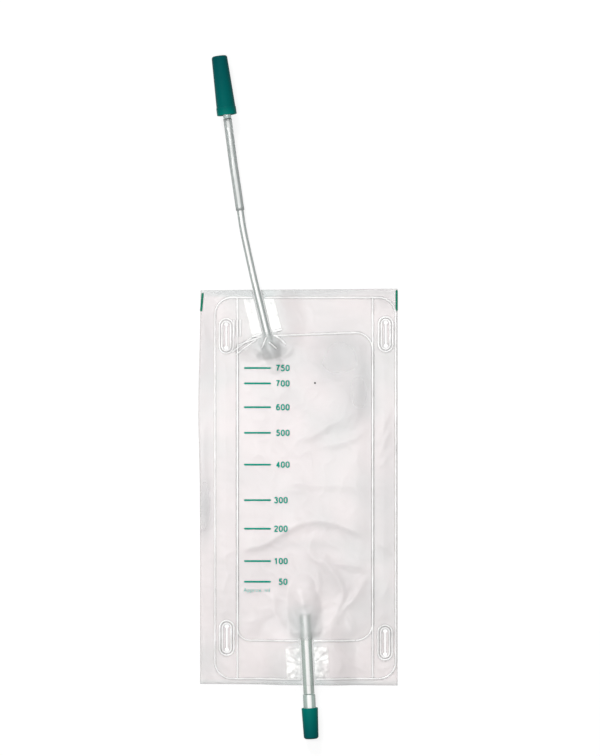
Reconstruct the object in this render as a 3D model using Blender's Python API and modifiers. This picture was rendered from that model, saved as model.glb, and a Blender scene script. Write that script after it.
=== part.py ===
"""Urine drainage bag, empty and laid flat on its back film.

X runs across the bag, Y up its length to the inlet, Z up from the table. The origin is the
middle of the bag with its outlet, at the table. Sizes are in millimetres; MM makes metres.
"""
import math

import bpy
import numpy as np
from mathutils import Matrix, Vector
from mathutils.geometry import area_tri, delaunay_2d_cdt, interpolate_bezier

MM = 0.001
OBJECT_NAME = "urine_drainage_bag"

# Film sheets
FILM_WIDTH = 154.0
FILM_LENGTH = 308.0
FILM_THICKNESS = 0.3
FILM_CLEARANCE = 0.3
FILM_GRID = 11.0
MOUTH_GRID = 3.2

# Outer weld, set in from the film's edges
OUTER_WELD_LEFT = 11.6
OUTER_WELD_RIGHT = 1.4
OUTER_WELD_TOP = 6.2
OUTER_WELD_BOTTOM = 4.6
WELD_CORNER_RADIUS = 13.3

# Chamber weld, set in from the outer weld
SIDE_STRIP_LEFT = 17.5
SIDE_STRIP_RIGHT = 18.0
TOP_STRIP = 27.4
BOTTOM_STRIP = 29.8
CHAMBER_SMALL_CORNER = 10.0
CHAMBER_TOP_STEP = 10.0

# How far the slack sheets stand apart between the welds
CHAMBER_SLACK = 2.4
STRIP_SLACK = 0.6
SLACK_REACH = 6.0

# Strap button-holes: a dog-bone slit in a welded stadium
SLOT_PAD_LENGTH = 27.0
SLOT_PAD_WIDTH = 11.0
SLIT_LENGTH = 22.0
SLIT_END_DIAMETER = 3.6
SLIT_WAIST = 1.4
# Place of each slot beside its strip's middle and the chamber's end
SLOT_TOP_LEFT = (0.1, -2.6)
SLOT_BOTTOM_LEFT = (0.5, 2.0)
SLOT_TOP_RIGHT = (1.2, -1.2)
SLOT_BOTTOM_RIGHT = (0.7, -1.6)

# Inlet, welded in at a lean
INLET_FROM_MIDDLE = -33.0
INLET_LEAN = 13.6
INLET_PAD_HALF_WIDTH = 12.0
INLET_WELD_LENGTH = 34.8
INLET_TUBE_INSIDE = 40.0
INLET_TUBE_DIAMETER = 5.4
EXTENSION_TUBE_DIAMETER = 6.6

# Non-return valve flaps below the inlet tube's end
FLAP_THICKNESS = 0.2
FLAP_HALF_WIDTH = 13.0
FLAP_NECK = 2.8
FLAP_OVERLAP = 6.0
FLAP_FLARE_START = 3.0
FLAP_FLARE = 8.0
FLAP_LENGTH = 12.6
FLAP_CORNER = 3.0
FLAP_GRID = 3.0
FLAP_ROOM = 0.3

# Inlet connector and its cap; distances run from the cap's mouth towards its closed end
CONNECTOR_LEAN = 7.5
CONNECTOR_TAIL = 2.6
CONNECTOR_TAIL_DIAMETER = 6.2
CONNECTOR_FLANGE_DIAMETER = 12.2
CONNECTOR_FLANGE_START = 1.6
CONNECTOR_FLANGE_THICKNESS = 1.6
CONNECTOR_NOSE_LENGTH = 43.0
CONNECTOR_NOSE_DIAMETER = 9.6
CONNECTOR_TIP_DIAMETER = 6.0
CONNECTOR_RIBS = 4
CONNECTOR_RIB_STEP = 0.45
CONNECTOR_BORE = 3.4
INLET_CAP_LENGTH = 46.4
INLET_CAP_MOUTH_DIAMETER = 15.4
INLET_CAP_END_DIAMETER = 12.2
INLET_CAP_BAND = 6.2
INLET_CAP_BAND_STEP = 0.3
CAP_WALL = 1.2
CAP_END_WALL = 1.6
CAP_CHAMFER = 1.1
RIM_CHAMFER = 0.35

# Outlet, distances run from the film's bottom edge outwards
OUTLET_FROM_MIDDLE = 7.6
OUTLET_LEAN = 2.9
OUTLET_PAD_HALF_WIDTH = 16.8
OUTLET_WELD_LENGTH = 34.4
OUTLET_TUBE_INSIDE = 55.0
OUTLET_TUBE_DIAMETER = 8.6
OUTLET_TUBE_BORE = 5.6
OUTLET_TUBE_FREE = 7.0
SPIGOT_TAIL = 12.0
SPIGOT_BORE = 3.6
SPIGOT_DIAMETER = 9.7
SPIGOT_TIP_DIAMETER = 8.6
SPIGOT_COLLAR = 10.6
OUTLET_CAP_LENGTH = 24.2
OUTLET_CAP_MOUTH_DIAMETER = 12.8
OUTLET_CAP_END_DIAMETER = 11.5

# Lift of the welded film beside a tube, and the skirt of slack film over its end
LIFT_REACH = 16.0
SKIRT_OPENING = 8.0
SKIRT_FADE = 16.0
INLET_SKIRT = 12.0
OUTLET_SKIRT = 18.0

# Running clearance between turned pieces, and steps round a turned piece
FIT_CLEARANCE = 0.3
TURN_STEPS = 24
CHANNEL_ANGLES = (0.0, 22.5, 45.0, 67.5, 90.0)
SLIVER_AREA = 0.002

# Centreline of the free inlet tubes: across and along from where the axis crosses the film's
# top edge, then the height over the rest height of the tube there
INLET_ROUTE = [(-4.7, 20.2, 0.7), (-7.8, 34.2, 0.1), (-10.6, 48.0, 0.2), (-12.6, 61.4, 0.6)]
EXTENSION_ROUTE = [(-15.6, 82.1, 0.0), (-18.0, 98.0, 0.7), (-20.2, 115.0, 3.1)]
EXTENSION_END = (-22.5, 132.8)
STRAIGHT_OUT = 7.0

# Soft folds of the front sheet, as shares of the chamber's width and length from its lower
# left corner, then the fold's height and half-width
FOLDS = [
    ([(0.02, 0.29), (0.22, 0.34), (0.42, 0.385), (0.62, 0.395), (0.80, 0.37), (0.98, 0.33)], 2.6, 5.0),
    ([(0.66, 0.62), (0.80, 0.66), (0.97, 0.71)], 1.6, 4.5),
    ([(0.74, 0.69), (0.86, 0.75), (0.97, 0.81)], 1.3, 4.0),
    ([(0.42, 0.91), (0.62, 0.86), (0.76, 0.77)], 2.0, 7.0),
    ([(0.57, 0.14), (0.70, 0.20), (0.74, 0.26), (0.66, 0.31)], 2.2, 4.5),
    ([(0.60, 0.07), (0.78, 0.13), (0.88, 0.21), (0.84, 0.30)], 1.6, 5.0),
    ([(0.40, 0.20), (0.30, 0.17), (0.20, 0.10)], 1.4, 5.0),
]

CLEAR_FILM = ((0.80, 0.80, 0.81), 0.18, 0.45)
CLEAR_TUBE = ((0.72, 0.78, 0.76), 0.15, 0.60)
TEAL = ((0.0, 0.085, 0.085), 0.35, 1.0)
MILKY = ((0.45, 0.72, 0.68), 0.25, 0.80)


# Sizes worked out from the ones above
film_half_width = FILM_WIDTH / 2
sheet_step = (FILM_THICKNESS + FILM_CLEARANCE) / 2
rest_plane = FILM_THICKNESS + FILM_CLEARANCE / 2
flap_step = (FILM_THICKNESS + FLAP_THICKNESS) / 2 + FILM_CLEARANCE


def inlet_cap_profile():
    """Half section (radius, distance from the mouth) of the inlet cap, closed end first."""
    mouth = INLET_CAP_MOUTH_DIAMETER / 2
    end = INLET_CAP_END_DIAMETER / 2
    return cap_profile(INLET_CAP_LENGTH, mouth, end, INLET_CAP_BAND, INLET_CAP_BAND_STEP)


def outlet_cap_profile():
    """Half section of the outlet cap, closed end first."""
    mouth = OUTLET_CAP_MOUTH_DIAMETER / 2
    end = OUTLET_CAP_END_DIAMETER / 2
    return cap_profile(OUTLET_CAP_LENGTH, mouth, end, 0.0, 0.0)


def cap_profile(length, mouth, end, band, band_step):
    """Closed-end cap: outside from the end's centre down to the rim, then up the inside."""
    inner_end = end - CAP_WALL
    outside = [(0.0, length), (end - CAP_CHAMFER, length), (end, length - CAP_CHAMFER)]
    if band:
        outside += [(mouth - band_step, band), (mouth, band - band_step)]
    outside += [(mouth, RIM_CHAMFER), (mouth - RIM_CHAMFER, 0.0)]
    inside = [(mouth - CAP_WALL, 0.0)]
    if band:
        inside += [(mouth - CAP_WALL, band - band_step), (mouth - band_step - CAP_WALL, band)]
    inside += [(inner_end, length - CAP_END_WALL), (0.0, length - CAP_END_WALL)]
    return outside + inside


def lean_out(lean):
    """Unit direction in the plan, out of the bag's top end, leaning left by `lean` degrees."""
    angle = math.radians(lean)
    return Vector((-math.sin(angle), math.cos(angle)))


class Port:
    """A tube welded into one end of the film, seen in its own plan frame.

    u runs across the tube and v along it into the bag, from the film's edge.
    """

    def __init__(self, edge, outward, channel_radius, axis_height,
                 pad_half_width, pad_start, weld_end, tube_end, skirt):
        self.edge = edge
        self.outward = outward
        self.channel_radius = channel_radius
        self.axis_height = axis_height
        self.pad_half_width = pad_half_width
        self.pad_start = pad_start
        self.weld_end = weld_end
        self.tube_end = tube_end
        self.skirt = skirt

    def local(self, x, y):
        offset = Vector((x, y)) - self.edge
        across = offset.x * self.outward.y - offset.y * self.outward.x
        return across, -offset.dot(self.outward)

    def plan(self, u, v):
        return self.edge - self.outward * v + Vector((self.outward.y, -self.outward.x)) * u

    def point(self, outward_distance):
        """A point on the tube's axis, `outward_distance` beyond the film's edge, in metres."""
        spot = self.edge + self.outward * outward_distance
        return Vector((spot.x, spot.y, self.axis_height)) * MM

    def pad_distance(self, u, v, start, end):
        return math.hypot(max(0.0, abs(u) - self.pad_half_width), max(start - v, 0.0, v - end))


outlet_outward = -lean_out(OUTLET_LEAN)
outlet_mouth = OUTLET_TUBE_FREE + SPIGOT_COLLAR
outlet_reach = max((outlet_mouth + along) * -outlet_outward.y + radius * abs(outlet_outward.x)
                   for radius, along in outlet_cap_profile())
film_top = (FILM_LENGTH + outlet_reach) / 2
film_bottom = film_top - FILM_LENGTH

weld_left = -film_half_width + OUTER_WELD_LEFT
weld_right = film_half_width - OUTER_WELD_RIGHT
weld_top = film_top - OUTER_WELD_TOP
weld_bottom = film_bottom + OUTER_WELD_BOTTOM

chamber_left = weld_left + SIDE_STRIP_LEFT
chamber_right = weld_right - SIDE_STRIP_RIGHT
chamber_top = weld_top - TOP_STRIP
chamber_bottom = weld_bottom + BOTTOM_STRIP

inlet_tube_radius = INLET_TUBE_DIAMETER / 2
inlet_channel = inlet_tube_radius + 2 * FILM_CLEARANCE + FLAP_THICKNESS + FILM_THICKNESS / 2
flap_channel = inlet_tube_radius + FILM_CLEARANCE + FLAP_THICKNESS / 2
outlet_tube_radius = OUTLET_TUBE_DIAMETER / 2
outlet_channel = outlet_tube_radius + FILM_CLEARANCE + FILM_THICKNESS / 2
outlet_axis_height = max(OUTLET_CAP_MOUTH_DIAMETER / 2, outlet_channel + FILM_THICKNESS / 2)

INLET = Port(Vector((INLET_FROM_MIDDLE, film_top)), lean_out(INLET_LEAN),
             inlet_channel, inlet_channel + FILM_THICKNESS / 2, INLET_PAD_HALF_WIDTH,
             OUTER_WELD_TOP, INLET_WELD_LENGTH, INLET_TUBE_INSIDE, INLET_SKIRT)
OUTLET = Port(Vector((OUTLET_FROM_MIDDLE, film_bottom)), outlet_outward,
              outlet_channel, outlet_axis_height, OUTLET_PAD_HALF_WIDTH,
              OUTER_WELD_BOTTOM, OUTLET_WELD_LENGTH, OUTLET_TUBE_INSIDE, OUTLET_SKIRT)
PORTS = (INLET, OUTLET)


# Plan lines of the welds

def arc(centre, radius, start, end, steps=5):
    """Points on an arc, angles in degrees."""
    angles = [math.radians(start + (end - start) * i / steps) for i in range(steps + 1)]
    return [Vector((centre[0] + radius * math.cos(a), centre[1] + radius * math.sin(a)))
            for a in angles]


def rounded_rectangle(left, bottom, right, top, radius):
    line = arc((right - radius, bottom + radius), radius, -90, 0)
    line += arc((right - radius, top - radius), radius, 0, 90)
    line += arc((left + radius, top - radius), radius, 90, 180)
    line += arc((left + radius, bottom + radius), radius, 180, 270)
    return line


def chamber_outline():
    """The chamber weld: square to the inlet pad at the top left, rounded at its corners."""
    big, small = WELD_CORNER_RADIUS, CHAMBER_SMALL_CORNER
    line = arc((chamber_right - big, chamber_bottom + big), big, -90, 0)
    line += arc((chamber_right - big, chamber_top - big), big, 0, 90)
    line.append(INLET.plan(-INLET_PAD_HALF_WIDTH, INLET_WELD_LENGTH))
    line.append(INLET.plan(INLET_PAD_HALF_WIDTH, INLET_WELD_LENGTH))
    line.append(Vector((chamber_left, chamber_top - CHAMBER_TOP_STEP)))
    line += arc((chamber_left + small, chamber_bottom + small), small, 180, 270)
    return line


def stadium(centre, length, width):
    radius = width / 2
    reach = length / 2 - radius
    upper = arc((centre[0], centre[1] + reach), radius, 0, 180, 6)
    lower = arc((centre[0], centre[1] - reach), radius, 180, 360, 6)
    return upper + lower


def dog_bone(centre):
    """Slit outline: two round ends joined by a narrow waist."""
    radius = SLIT_END_DIAMETER / 2
    half_waist = math.degrees(math.asin(SLIT_WAIST / SLIT_END_DIAMETER))
    reach = SLIT_LENGTH / 2 - radius
    upper = arc((centre[0], centre[1] + reach), radius, -90 + half_waist, 270 - half_waist, 8)
    lower = arc((centre[0], centre[1] - reach), radius, 90 + half_waist, 450 - half_waist, 8)
    return upper + lower


left_strip_middle = (weld_left + chamber_left) / 2
right_strip_middle = (weld_right + chamber_right) / 2
SLOT_CENTRES = [(left_strip_middle + SLOT_TOP_LEFT[0], chamber_top + SLOT_TOP_LEFT[1]),
                (left_strip_middle + SLOT_BOTTOM_LEFT[0], chamber_bottom + SLOT_BOTTOM_LEFT[1]),
                (right_strip_middle + SLOT_TOP_RIGHT[0], chamber_top + SLOT_TOP_RIGHT[1]),
                (right_strip_middle + SLOT_BOTTOM_RIGHT[0], chamber_bottom + SLOT_BOTTOM_RIGHT[1])]
SLITS = [dog_bone(centre) for centre in SLOT_CENTRES]
SLOT_PADS = [stadium(centre, SLOT_PAD_LENGTH, SLOT_PAD_WIDTH) for centre in SLOT_CENTRES]
OUTER_WELD = rounded_rectangle(weld_left, weld_bottom, weld_right, weld_top, WELD_CORNER_RADIUS)
CHAMBER = chamber_outline()
SIDE_LINES = [[Vector((x, weld_bottom)), Vector((x, weld_top))]
              for x in (chamber_left, chamber_right)]


def closed(line):
    return line + [line[0]]


def divided(line, longest):
    """The same line with no stretch longer than `longest`."""
    result = [line[0]]
    for start, end in zip(line, line[1:]):
        count = max(1, math.ceil((end - start).length / longest))
        result += [start.lerp(end, i / count) for i in range(1, count + 1)]
    return result


def segments(lines):
    """Start and end arrays of every segment in the lines."""
    starts = np.array([point for line in lines for point in line[:-1]])
    ends = np.array([point for line in lines for point in line[1:]])
    return starts, ends


def distance_to(point, lines):
    """Distance in the plan from a point to the nearest of the segments."""
    starts, ends = lines
    along = ends - starts
    share = ((np.array(point) - starts) * along).sum(axis=1) / (along * along).sum(axis=1)
    nearest = starts + along * np.clip(share, 0.0, 1.0)[:, None]
    return float(np.hypot(*(nearest - np.array(point)).T).min())


def inside(point, outline):
    """True where the plan point lies inside the closed outline."""
    crossings = 0
    for start, end in zip(outline, outline[1:] + outline[:1]):
        if (start.y > point.y) != (end.y > point.y):
            cross_x = start.x + (point.y - start.y) * (end.x - start.x) / (end.y - start.y)
            crossings += point.x < cross_x
    return crossings % 2 == 1


WELD_SEGMENTS = segments([closed(OUTER_WELD), closed(CHAMBER)] + SIDE_LINES)
SLOT_SEGMENTS = segments([closed(pad) for pad in SLOT_PADS])


# Heights of the sheets over the table

def smooth(share):
    share = min(1.0, max(0.0, share))
    return share * share * (3.0 - 2.0 * share)


def weld_plane(x, y):
    """Height of the plane where the sheets meet, lifted to the tube's axis beside each tube."""
    height = rest_plane
    for port in PORTS:
        u, v = port.local(x, y)
        away = port.pad_distance(u, v, -LIFT_REACH, port.weld_end)
        height += (port.axis_height - rest_plane) * (1.0 - smooth(away / LIFT_REACH))
    return height


def looseness(point):
    """0 at a weld or in a welded pad, rising to 1 away from them."""
    if any(inside(point, pad) for pad in SLOT_PADS):
        return 0.0
    distance = min(distance_to(point, WELD_SEGMENTS), distance_to(point, SLOT_SEGMENTS))
    for port in PORTS:
        u, v = port.local(point.x, point.y)
        distance = min(distance, port.pad_distance(u, v, port.pad_start, port.weld_end))
    return 1.0 - math.exp(-(distance / SLACK_REACH) ** 2)


def slack(x, y):
    """How far the sheets stand apart."""
    point = Vector((x, y))
    if inside(point, CHAMBER):
        return (CHAMBER_SLACK + fold_height(point)) * looseness(point)
    return STRIP_SLACK * looseness(point)


def fold_lines():
    """Each fold as a plan line with its height and half-width."""
    width = chamber_right - chamber_left
    length = chamber_top - chamber_bottom
    return [([Vector((chamber_left + a * width, chamber_bottom + b * length)) for a, b in points],
             height, half_width) for points, height, half_width in FOLDS]


FOLD_LINES = fold_lines()
FOLD_SEGMENTS = [segments([line]) for line, height, half_width in FOLD_LINES]


def fold_height(point):
    total = 0.0
    for (line, height, half_width), lines in zip(FOLD_LINES, FOLD_SEGMENTS):
        away = distance_to(point, lines) / half_width
        total = max(total, height * max(0.0, 1.0 - away) ** 1.5)
    return total


def cover(port, u, v, plane, radius, skirt):
    """Height over the weld plane of a sheet laid over the tube, round in the weld, slack after."""
    slackness = smooth((v - port.weld_end) / SKIRT_OPENING)
    round_part = math.sqrt(max(0.0, 1.0 - (u / radius) ** 2))
    slack_part = 0.5 * (1.0 + math.cos(math.pi * min(1.0, abs(u) / skirt)))
    fade = 1.0 - smooth((v - port.tube_end) / SKIRT_FADE)
    shape = (1.0 - slackness) * round_part + slackness * slack_part
    crest = port.axis_height + radius + 2 * FLAP_ROOM * slackness
    return (crest - plane) * shape * fade


def front_height(x, y):
    plane = weld_plane(x, y)
    rise = sheet_step + slack(x, y)
    for port in PORTS:
        u, v = port.local(x, y)
        rise = max(rise, cover(port, u, v, plane, port.channel_radius, port.skirt))
    return plane + rise


def back_plane(x, y):
    """The weld plane, sunk to the table where the chamber's back film lies loose."""
    plane = weld_plane(x, y)
    point = Vector((x, y))
    if inside(point, CHAMBER):
        plane = rest_plane + (plane - rest_plane) * (1.0 - looseness(point)) ** 2
    return plane


def back_height(x, y):
    drop = sheet_step
    for port in PORTS:
        u, v = port.local(x, y)
        if v < port.tube_end + SKIRT_FADE:
            drop = max(drop, math.sqrt(max(0.0, port.channel_radius ** 2 - u ** 2)))
    return max(FILM_THICKNESS / 2, back_plane(x, y) - drop)


def flap_height(x, y, side):
    """A flap follows the round of the channel in its neck and the slack film beyond it."""
    u, v = INLET.local(x, y)
    slackness = smooth((v - INLET.weld_end) / SKIRT_OPENING)
    neck = INLET.axis_height + side * math.sqrt(max(0.0, flap_channel ** 2 - u ** 2))
    film = front_height(x, y) if side > 0 else back_height(x, y)
    step = flap_step + FLAP_ROOM if side > 0 else flap_step
    return (1.0 - slackness) * neck + slackness * (film - side * step)


def front_flap_height(x, y):
    return flap_height(x, y, 1)


def back_flap_height(x, y):
    return flap_height(x, y, -1)


# Sheets

def grid_points(outline, spacing, keep_clear):
    """Staggered rows of points inside the outline that stay clear of the lines."""
    left, right = min(p.x for p in outline), max(p.x for p in outline)
    bottom, top = min(p.y for p in outline), max(p.y for p in outline)
    points = []
    rows = max(2, round((top - bottom) / spacing))
    columns = max(2, round((right - left) / spacing))
    for row in range(1, rows):
        shift = 0.25 if row % 2 else -0.25
        for column in range(1, columns):
            point = Vector((left + (right - left) * (column + shift) / columns,
                            bottom + (top - bottom) * row / rows))
            if inside(point, outline) and distance_to(point, keep_clear) > 0.55 * spacing:
                points.append(point)
    return points


def mouth_zone(port):
    """Outline of the slack film over a tube's inner end, which curves most."""
    start, end = port.weld_end, port.tube_end + SKIRT_FADE
    corners = ((-1, start), (1, start), (1, end), (-1, end))
    return [port.plan(side * (port.skirt + MOUTH_GRID), v) for side, v in corners]


def film_points(lines):
    """Loose points of a film: a fine grid by the tubes' inner ends, a coarse one elsewhere."""
    keep_clear = segments(lines)
    outline = lines[0][:-1]
    zones = [mouth_zone(port) for port in PORTS]
    points = [point for point in grid_points(outline, FILM_GRID, keep_clear)
              if not any(inside(point, zone) for zone in zones)]
    for zone in zones:
        points += grid_points(zone, MOUTH_GRID, keep_clear)
    return points


def sheet_mesh(name, lines, loose, outline, holes, height):
    """Triangles between the plan lines, raised to `height`, with the holes left out."""
    points, edges = [], []
    for line in lines:
        first = len(points)
        points += line
        edges += [(first + i, first + i + 1) for i in range(len(line) - 1)]
    plan, _, faces, *_ = delaunay_2d_cdt(points + loose, edges, [], 0, 0.02, True)
    kept = []
    for face in faces:
        centre = sum((plan[i] for i in face), Vector((0.0, 0.0))) / 3
        flat = area_tri(*(plan[i] for i in face)) < SLIVER_AREA
        if not flat and inside(centre, outline) and not any(inside(centre, h) for h in holes):
            kept.append(tuple(face))
    used = sorted({i for face in kept for i in face})
    number = {old: new for new, old in enumerate(used)}
    verts = [(plan[i].x * MM, plan[i].y * MM, height(plan[i].x, plan[i].y) * MM) for i in used]
    mesh = bpy.data.meshes.new(name)
    mesh.from_pydata(verts, [], [[number[i] for i in face] for face in kept])
    return mesh


def channel_lines(port):
    """Lines along the tube, from the film's edge, that round the film over it."""
    lines = []
    film_edge = film_top if port is INLET else film_bottom
    end = max(port.tube_end, port.weld_end + SKIRT_OPENING)
    for angle in CHANNEL_ANGLES:
        across = port.channel_radius * math.cos(math.radians(angle))
        for u in ((across,) if angle == 90.0 else (across, -across)):
            weld_end, inner_end = port.plan(u, port.weld_end), port.plan(u, end)
            edge_share = (film_edge - weld_end.y) / (port.plan(u, 0.0).y - weld_end.y)
            start = weld_end.lerp(port.plan(u, 0.0), edge_share)
            lines.append(divided([start, weld_end], FILM_GRID)
                         + divided([weld_end, inner_end], MOUTH_GRID / 2)[1:])
    return lines


def pad_line(port):
    corners = [(-1, port.pad_start), (1, port.pad_start), (1, port.weld_end), (-1, port.weld_end)]
    return [port.plan(side * port.pad_half_width, v) for side, v in corners]


def beside(line, offset):
    """The line moved sideways by `offset`."""
    moved = []
    for i, point in enumerate(line):
        ahead = line[min(i + 1, len(line) - 1)] - line[max(i - 1, 0)]
        moved.append(point + Vector((-ahead.y, ahead.x)).normalized() * offset)
    return moved


def film_plan():
    """Outline and the lines that both films share."""
    outline = [Vector((-film_half_width, film_bottom)), Vector((film_half_width, film_bottom)),
               Vector((film_half_width, film_top)), Vector((-film_half_width, film_top))]
    lines = [divided(closed(outline), FILM_GRID)]
    lines += [divided(closed(OUTER_WELD), FILM_GRID), divided(closed(CHAMBER), FILM_GRID)]
    lines += [divided(line, FILM_GRID) for line in SIDE_LINES]
    lines += [closed(pad) for pad in SLOT_PADS] + [closed(slit) for slit in SLITS]
    for port in PORTS:
        lines.append(divided(closed(pad_line(port)), FILM_GRID))
        lines += channel_lines(port)
    return outline, lines


def front_film():
    outline, lines = film_plan()
    for line, height, half_width in FOLD_LINES:
        for offset in (-half_width, 0.0, half_width):
            lines.append(divided(beside(line, offset), FILM_GRID))
    mesh = sheet_mesh("front_film", lines, film_points(lines), outline, SLITS, front_height)
    return shell("front_film", mesh, FILM_THICKNESS, CLEAR_FILM)


def back_film():
    outline, lines = film_plan()
    mesh = sheet_mesh("back_film", lines, film_points(lines), outline, SLITS, back_height)
    return shell("back_film", mesh, FILM_THICKNESS, CLEAR_FILM)


def valve_flap(name, height):
    """A flap whose neck lies in the tube's channel and flares out in the chamber."""
    start = INLET_TUBE_INSIDE - FLAP_OVERLAP
    flare = INLET_TUBE_INSIDE + FLAP_FLARE_START
    end = flare + FLAP_LENGTH
    side = [(FLAP_NECK, start), (FLAP_NECK, flare), (FLAP_HALF_WIDTH, flare + FLAP_FLARE),
            (FLAP_HALF_WIDTH, end - FLAP_CORNER), (FLAP_HALF_WIDTH - FLAP_CORNER, end)]
    outline = [INLET.plan(u, v) for u, v in side] + [INLET.plan(-u, v) for u, v in side[::-1]]
    lines = [divided(closed(outline), FLAP_GRID)]
    for share in (-0.6, 0.0, 0.6):
        line = [INLET.plan(share * FLAP_NECK, start), INLET.plan(share * FLAP_NECK, end)]
        lines.append(divided(line, FLAP_GRID))
    loose = grid_points(outline, FLAP_GRID, segments(lines))
    mesh = sheet_mesh(name, lines, loose, outline, [], height)
    return shell(name, mesh, FLAP_THICKNESS, CLEAR_FILM)


# Objects and materials

def clear_scene():
    for item in list(bpy.data.objects):
        bpy.data.objects.remove(item)


def material(name, look):
    colour, roughness, alpha = look
    result = bpy.data.materials.new(name)
    result.use_nodes = True
    shader = result.node_tree.nodes["Principled BSDF"]
    shader.inputs["Base Color"].default_value = (*colour, 1.0)
    shader.inputs["Roughness"].default_value = roughness
    shader.inputs["Metallic"].default_value = 0.0
    shader.inputs["Alpha"].default_value = alpha
    return result


def add(name, data, look):
    item = bpy.data.objects.new(name, data)
    data.materials.append(material(name, look))
    bpy.data.collections[OBJECT_NAME].objects.link(item)
    return item


def shell(name, mesh, thickness, look):
    """A film: an open surface with a thickness."""
    mesh.shade_smooth()
    item = add(name, mesh, look)
    wall = item.modifiers.new("Thickness", "SOLIDIFY")
    wall.thickness = thickness * MM
    wall.offset = 0.0
    return item


def turned(name, profile, look, ring=False):
    """A turned piece about its own Z; the profile is (radius, height), outer side downwards."""
    verts = [(radius * MM, 0.0, height * MM) for radius, height in profile]
    edges = [(i, i + 1) for i in range(len(verts) - 1)]
    if ring:
        edges.append((len(verts) - 1, 0))
    mesh = bpy.data.meshes.new(name)
    mesh.from_pydata(verts, edges, [])
    item = add(name, mesh, look)
    turn = item.modifiers.new("Turn", "SCREW")
    turn.angle = 2 * math.pi
    turn.steps = TURN_STEPS
    turn.render_steps = TURN_STEPS
    turn.use_merge_vertices = True
    turn.merge_threshold = 0.00001
    turn.use_smooth_shade = True
    return item


def aim(item, direction, location):
    """Stand the piece's own Z along a level direction, its X staying level too."""
    across = Vector((direction.y, -direction.x, 0.0))
    along = Vector((direction.x, direction.y, 0.0))
    turn = Matrix((across, along.cross(across), along)).transposed()
    item.matrix_world = Matrix.Translation(location) @ turn.to_4x4()
    return item


def tube(name, points, diameter, look):
    """A free tube: a round section along points that were read from a smooth curve."""
    curve = bpy.data.curves.new(name, "CURVE")
    curve.dimensions = "3D"
    curve.bevel_depth = diameter / 2 * MM
    curve.bevel_resolution = 2
    curve.use_fill_caps = True
    spline = curve.splines.new("POLY")
    spline.points.add(len(points) - 1)
    for target, point in zip(spline.points, points):
        target.co = (*point, 1.0)
    return add(name, curve, look)


# Turned pieces

def inlet_cap():
    return turned("inlet_cap", inlet_cap_profile(), TEAL)


def outlet_cap():
    return turned("outlet_cap", outlet_cap_profile(), TEAL)


def inlet_connector():
    """Ribbed, tapered connector: bore, nose with ribs, flange in the cap's mouth, tail."""
    bore = CONNECTOR_BORE / 2
    flange_start = CONNECTOR_FLANGE_START
    flange_end = flange_start + CONNECTOR_FLANGE_THICKNESS
    nose, tip = CONNECTOR_NOSE_DIAMETER / 2, CONNECTOR_TIP_DIAMETER / 2
    length = CONNECTOR_NOSE_LENGTH
    first_rib = flange_end + (length - flange_end) * 0.2
    pitch = (length - first_rib) / CONNECTOR_RIBS
    profile = [(bore, length), (tip - RIM_CHAMFER, length)]
    for rib in range(CONNECTOR_RIBS):
        near = length - rib * pitch
        far = near - pitch
        taper = (nose - tip) / (length - first_rib)
        profile.append((tip + (length - near) * taper, near - RIM_CHAMFER))
        profile.append((tip + (length - far) * taper, far + CONNECTOR_RIB_STEP))
        profile.append((tip + (length - far) * taper - CONNECTOR_RIB_STEP, far))
    profile += [(nose - CONNECTOR_RIB_STEP, flange_end)]
    profile += [(CONNECTOR_FLANGE_DIAMETER / 2, flange_end)]
    profile += [(CONNECTOR_FLANGE_DIAMETER / 2, flange_start)]
    profile += [(CONNECTOR_TAIL_DIAMETER / 2, flange_start)]
    profile += [(CONNECTOR_TAIL_DIAMETER / 2, -CONNECTOR_TAIL), (bore, -CONNECTOR_TAIL)]
    return turned("inlet_connector", profile, MILKY, ring=True)


def outlet_tube():
    """Straight tube from the chamber to the step at its free end."""
    outer, bore = outlet_tube_radius, OUTLET_TUBE_BORE / 2
    top, bottom = OUTLET_TUBE_FREE - FIT_CLEARANCE, -OUTLET_TUBE_INSIDE
    profile = [(outer, top), (outer, bottom), (bore, bottom), (bore, top)]
    return turned("outlet_tube", profile, CLEAR_TUBE, ring=True)


def outlet_spigot():
    """Plug connector: its tail inside the tube, its collar outside, its nose in the cap."""
    bore = SPIGOT_BORE / 2
    collar, tip = SPIGOT_DIAMETER / 2, SPIGOT_TIP_DIAMETER / 2
    tail = OUTLET_TUBE_BORE / 2 - FIT_CLEARANCE
    end = outlet_mouth + OUTLET_CAP_LENGTH - CAP_END_WALL - 2 * FIT_CLEARANCE
    start = OUTLET_TUBE_FREE
    profile = [(bore, end), (tip - RIM_CHAMFER, end), (tip, end - RIM_CHAMFER)]
    profile += [(collar, outlet_mouth), (collar, start + RIM_CHAMFER)]
    profile += [(collar - RIM_CHAMFER, start), (tail, start)]
    profile += [(tail, start - SPIGOT_TAIL), (bore, start - SPIGOT_TAIL)]
    return turned("outlet_spigot", profile, CLEAR_TUBE, ring=True)


# Free inlet tubes

def smooth_through(points, start_way, end_way, spacing):
    """Points along a smooth curve through `points`, and where each of them falls in the list."""
    ways = [start_way]
    ways += [(after - before).normalized() for before, after in zip(points, points[2:])]
    ways.append(end_way)
    result, places = [points[0]], [0]
    for i, (start, end) in enumerate(zip(points, points[1:])):
        third = (end - start).length / 3
        count = max(2, math.ceil(3 * third / spacing))
        handles = (start, start + ways[i] * third, end - ways[i + 1] * third, end)
        result += interpolate_bezier(*handles, count + 1)[1:]
        places.append(len(result) - 1)
    return result, places


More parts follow.
